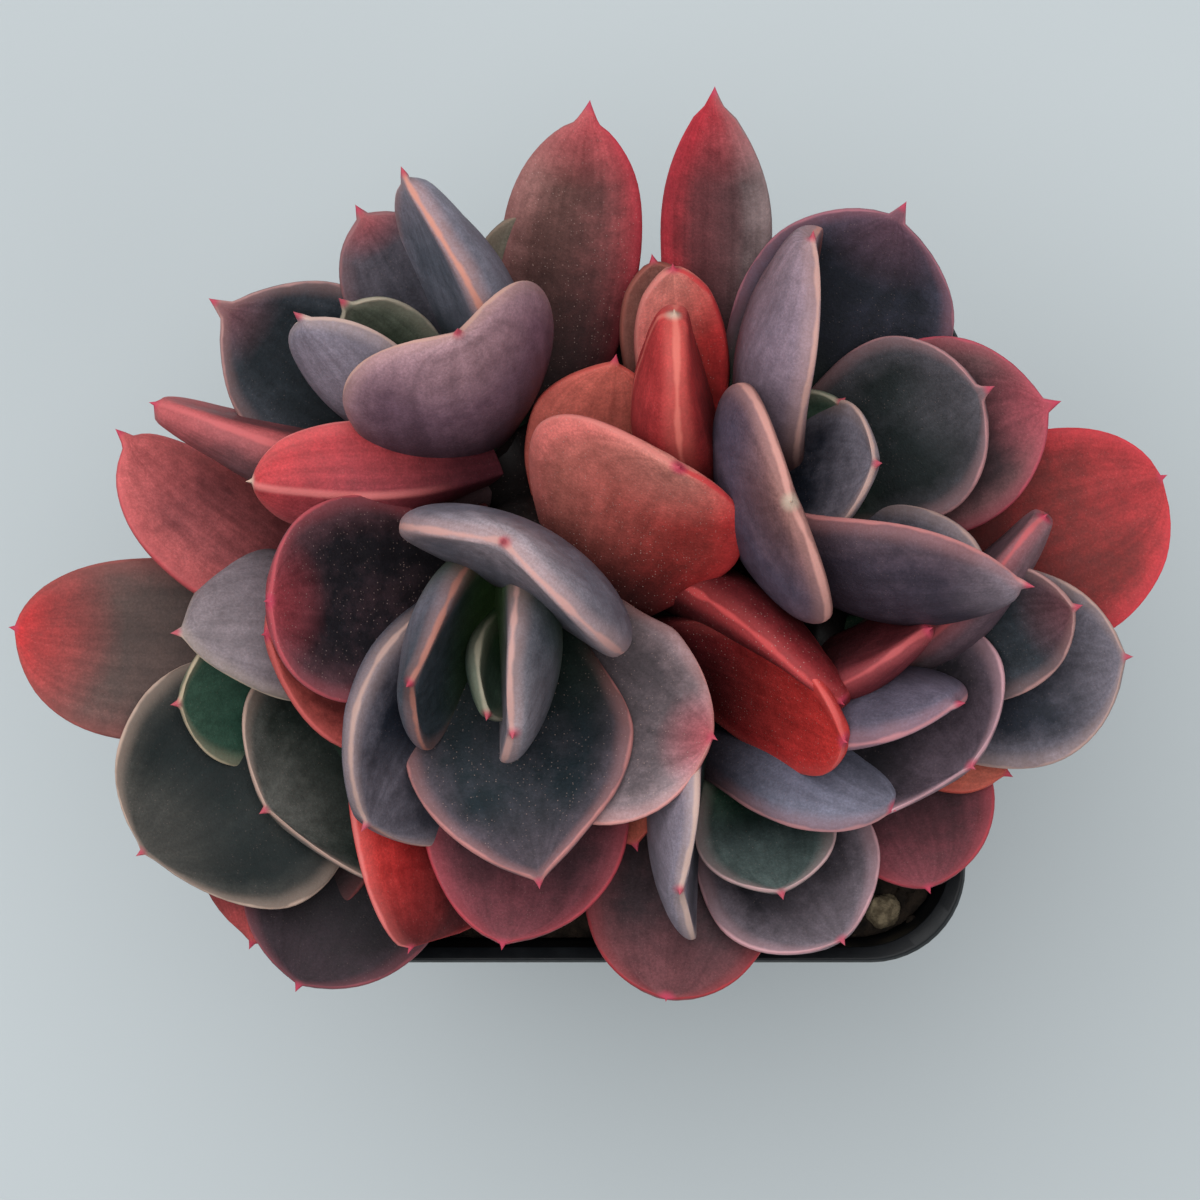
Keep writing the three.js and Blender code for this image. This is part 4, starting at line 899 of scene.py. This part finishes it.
def strewCrumbs(bm, half, shadeLayer):
    # loose crumbs on top, a few of them pale
    p = soilShape
    chance = random.Random(p["seed"])
    crumbBall = makePattern("crumbBall", bmesh.ops.create_icosphere, subdivisions=p["crumbDetail"])
    reach = half - p["crumbInset"]
    for _ in range(p["crumbs"]):
        x, y = chance.uniform(-reach, reach), chance.uniform(-reach, reach)
        size = chance.uniform(*p["crumbSize"]) * chance.uniform(*p["crumbShare"])
        pale = chance.random() < p["paleShare"]
        phase = chance.uniform(*p["crumbPhase"])
        stretch = Vector([chance.uniform(*span) for span in (p["crumbWide"], p["crumbWide"], p["crumbTall"])])
        base = Vector((x, y, soilHeight(x, y) + size * p["crumbSink"]))
        for vert in addCopy(bm, crumbBall):
            rough = 1 + p["crumbRough"] * noise.noise(vert.co * p["crumbCells"] + Vector((phase, 0, 0)))
            vert.co = base + vert.co * stretch * rough * size
            vert[shadeLayer] = p["paleness"] if pale else 0.0


def makeSoil(material):
    p = potShape
    clearance = soilShape["clearance"]
    inset = p["wall"] + clearance
    half = p["neckSide"] / 2 - inset
    corner = 2 * half * p["cornerShare"]
    bm = bmesh.new()
    shadeLayer = bm.verts.layers.float.new("crumbShade")
    bmesh.ops.create_grid(bm, x_segments=soilShape["cells"], y_segments=soilShape["cells"], size=half)
    for vert in bm.verts:
        x, y = vert.co.x, vert.co.y
        past = Vector((abs(x) - (half - corner), abs(y) - (half - corner)))
        if past.x > 0 and past.y > 0:  # round the corners off
            past *= max(past.x, past.y) / past.length
            x = math.copysign(half - corner + past.x, x)
            y = math.copysign(half - corner + past.y, y)
        vert.co = Vector((x, y, soilHeight(x, y)))
    bottom = 2 * p["wall"] + clearance
    span = p["shoulderSide"] - p["baseSide"]
    bottomHalf = (p["baseSide"] + span * bottom / p["shoulderZ"]) / 2 - inset
    skirtRings = ((half, p["neckZ"] + clearance), (p["shoulderSide"] / 2 - inset, p["shoulderZ"]),
                  (bottomHalf, bottom))
    rim = [edge for edge in bm.edges if edge.is_boundary]
    halfNow = half
    for halfNext, z in skirtRings:
        skirt = bmesh.ops.extrude_edge_only(bm, edges=rim)["geom"]
        for vert in (part for part in skirt if isinstance(part, bmesh.types.BMVert)):
            vert.co = Vector((vert.co.x * halfNext / halfNow, vert.co.y * halfNext / halfNow, z))
        rim = [part for part in skirt if isinstance(part, bmesh.types.BMEdge) and part.is_boundary]
        halfNow = halfNext
    bmesh.ops.edgeloop_fill(bm, edges=rim)
    strewCrumbs(bm, half, shadeLayer)
    bmesh.ops.recalc_face_normals(bm, faces=bm.faces)
    bmesh.ops.scale(bm, vec=(mm, mm, mm), verts=bm.verts)
    return finishPiece(bm, "peat", material, "soil")


gritShape = dict(
    size=0.9, lumps=(0.24, 1.4), pits=(0.06, 5), layerGap=4, seedStep=5.7, detail=4,
    darkTone=(96, 84, 64), paleTone=(168, 152, 122), blotchGrain=(700, 5, 0.65), paleShare=(0.35, 0.7),
    pitGrain=(2600, 4, 0.7), roughness=0.9, bump=(0.8, 0.0004),
)


def makeGritMaterial():
    material, tree, shader, place = newMaterial("paleGrit")
    p = gritShape
    share = fade(tree, grain(tree, place, *p["blotchGrain"]), *p["paleShare"])
    pits = grain(tree, place, *p["pitGrain"])
    plugAll(tree, shader, {
        "Base Color": mixTones(tree, share, tone(*p["darkTone"]), tone(*p["paleTone"])),
        "Roughness": p["roughness"], "Normal": bumps(tree, (pits,), (1,), *p["bump"]),
    })
    return material


def makeStone(node, material, seed):
    # a rough stone that fills its solid's box
    low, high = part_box(node)
    middle, half = (low + high) / 2, (high - low) / 2
    bm = bmesh.new()
    ball = bmesh.ops.create_icosphere(bm, subdivisions=gritShape["detail"], radius=1)
    for vert in ball["verts"]:
        rough = gritShape["size"]
        for shift, (depth, cells) in enumerate((gritShape["lumps"], gritShape["pits"])):
            rough += depth * noise.noise(vert.co * cells + Vector((seed, shift * gritShape["layerGap"], 0)))
        vert.co = middle + vert.co * half * min(rough, 1.0)
    return finishPiece(bm, node.replace("grit_", "stone_"), material, node)


# The surface, the light and the camera

studio = dict(
    floorTone=(193, 201, 204), shadeTone=(180, 186, 190), floorGrain=6, shadeShare=(0.3, 0.7, 0, 0.06),
    floorRoughness=0.85, floorSpecular=0.2, floorSize=3.0, floorDrop=0.1,
    skyTone=(0.94, 0.97, 1.0), skyStrength=0.22,
    keyAt=(-0.24, 0.3, 1.1), keySize=1.4, keyPower=16.4,
    fillAt=(0.7, -0.5, 0.8), fillSize=1.2, fillPower=2.8,
    cameraAt=(-2.8, 2.45, 380), cameraAngle=26.3, sensorWidth=36,
)


def makeFloor():
    material, tree, shader, place = newMaterial("paleFloor")
    share = fade(tree, grain(tree, place, studio["floorGrain"]), *studio["shadeShare"])
    plugAll(tree, shader, {
        "Base Color": mixTones(tree, share, tone(*studio["floorTone"]), tone(*studio["shadeTone"])),
        "Roughness": studio["floorRoughness"], "Specular IOR Level": studio["floorSpecular"],
    })
    bm = bmesh.new()
    bmesh.ops.create_grid(bm, x_segments=1, y_segments=1, size=studio["floorSize"] / 2)
    mesh = meshFrom(bm, "floor")
    mesh.transform(Matrix.Translation((0, 0, -studio["floorDrop"] * mm)))
    mesh.materials.append(material)
    addObject("floor", mesh)


def addSoftbox(name):
    light = bpy.data.lights.new(name + "Softbox", "AREA")
    light.shape = "SQUARE"
    light.size = studio[name + "Size"]
    light.energy = studio[name + "Power"]
    box = addObject(name + "Softbox", light)
    box.location = studio[name + "At"]
    box.rotation_euler = (-Vector(studio[name + "At"])).to_track_quat("-Z", "Y").to_euler()


def lightStudio():
    world = bpy.data.worlds.new("softSky")
    world.use_nodes = True
    sky = world.node_tree.nodes["Background"]
    sky.inputs["Color"].default_value = (*studio["skyTone"], 1)
    sky.inputs["Strength"].default_value = studio["skyStrength"]
    bpy.context.scene.world = world
    addSoftbox("key")
    addSoftbox("fill")
    bpy.context.scene.view_settings.view_transform = "Standard"


def placeCamera():
    # straight above the plant, as in the photograph
    lens = bpy.data.cameras.new("camera")
    lens.sensor_width = studio["sensorWidth"]
    lens.lens = lens.sensor_width / 2 / math.tan(math.radians(studio["cameraAngle"]) / 2)
    camera = addObject("camera", lens)
    camera.location = Vector(studio["cameraAt"]) * mm
    bpy.context.scene.camera = camera


leafMaterial = makeLeafMaterial()
for headName, headShape in headShapes.items():
    made = makeHead(headName, headShape, leafMaterial)
    print("rosette", headName, "faces:", len(made.data.polygons))
makePot(makePotMaterial())
print("pot made")
makeSoil(makeSoilMaterial())
gritMaterial = makeGritMaterial()
for count, gritNode in enumerate(sorted(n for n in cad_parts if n.startswith("grit_"))):
    makeStone(gritNode, gritMaterial, gritShape["seedStep"] * count)
print("soil and grit made")
makeFloor()
lightStudio()
placeCamera()
print("studio ready")
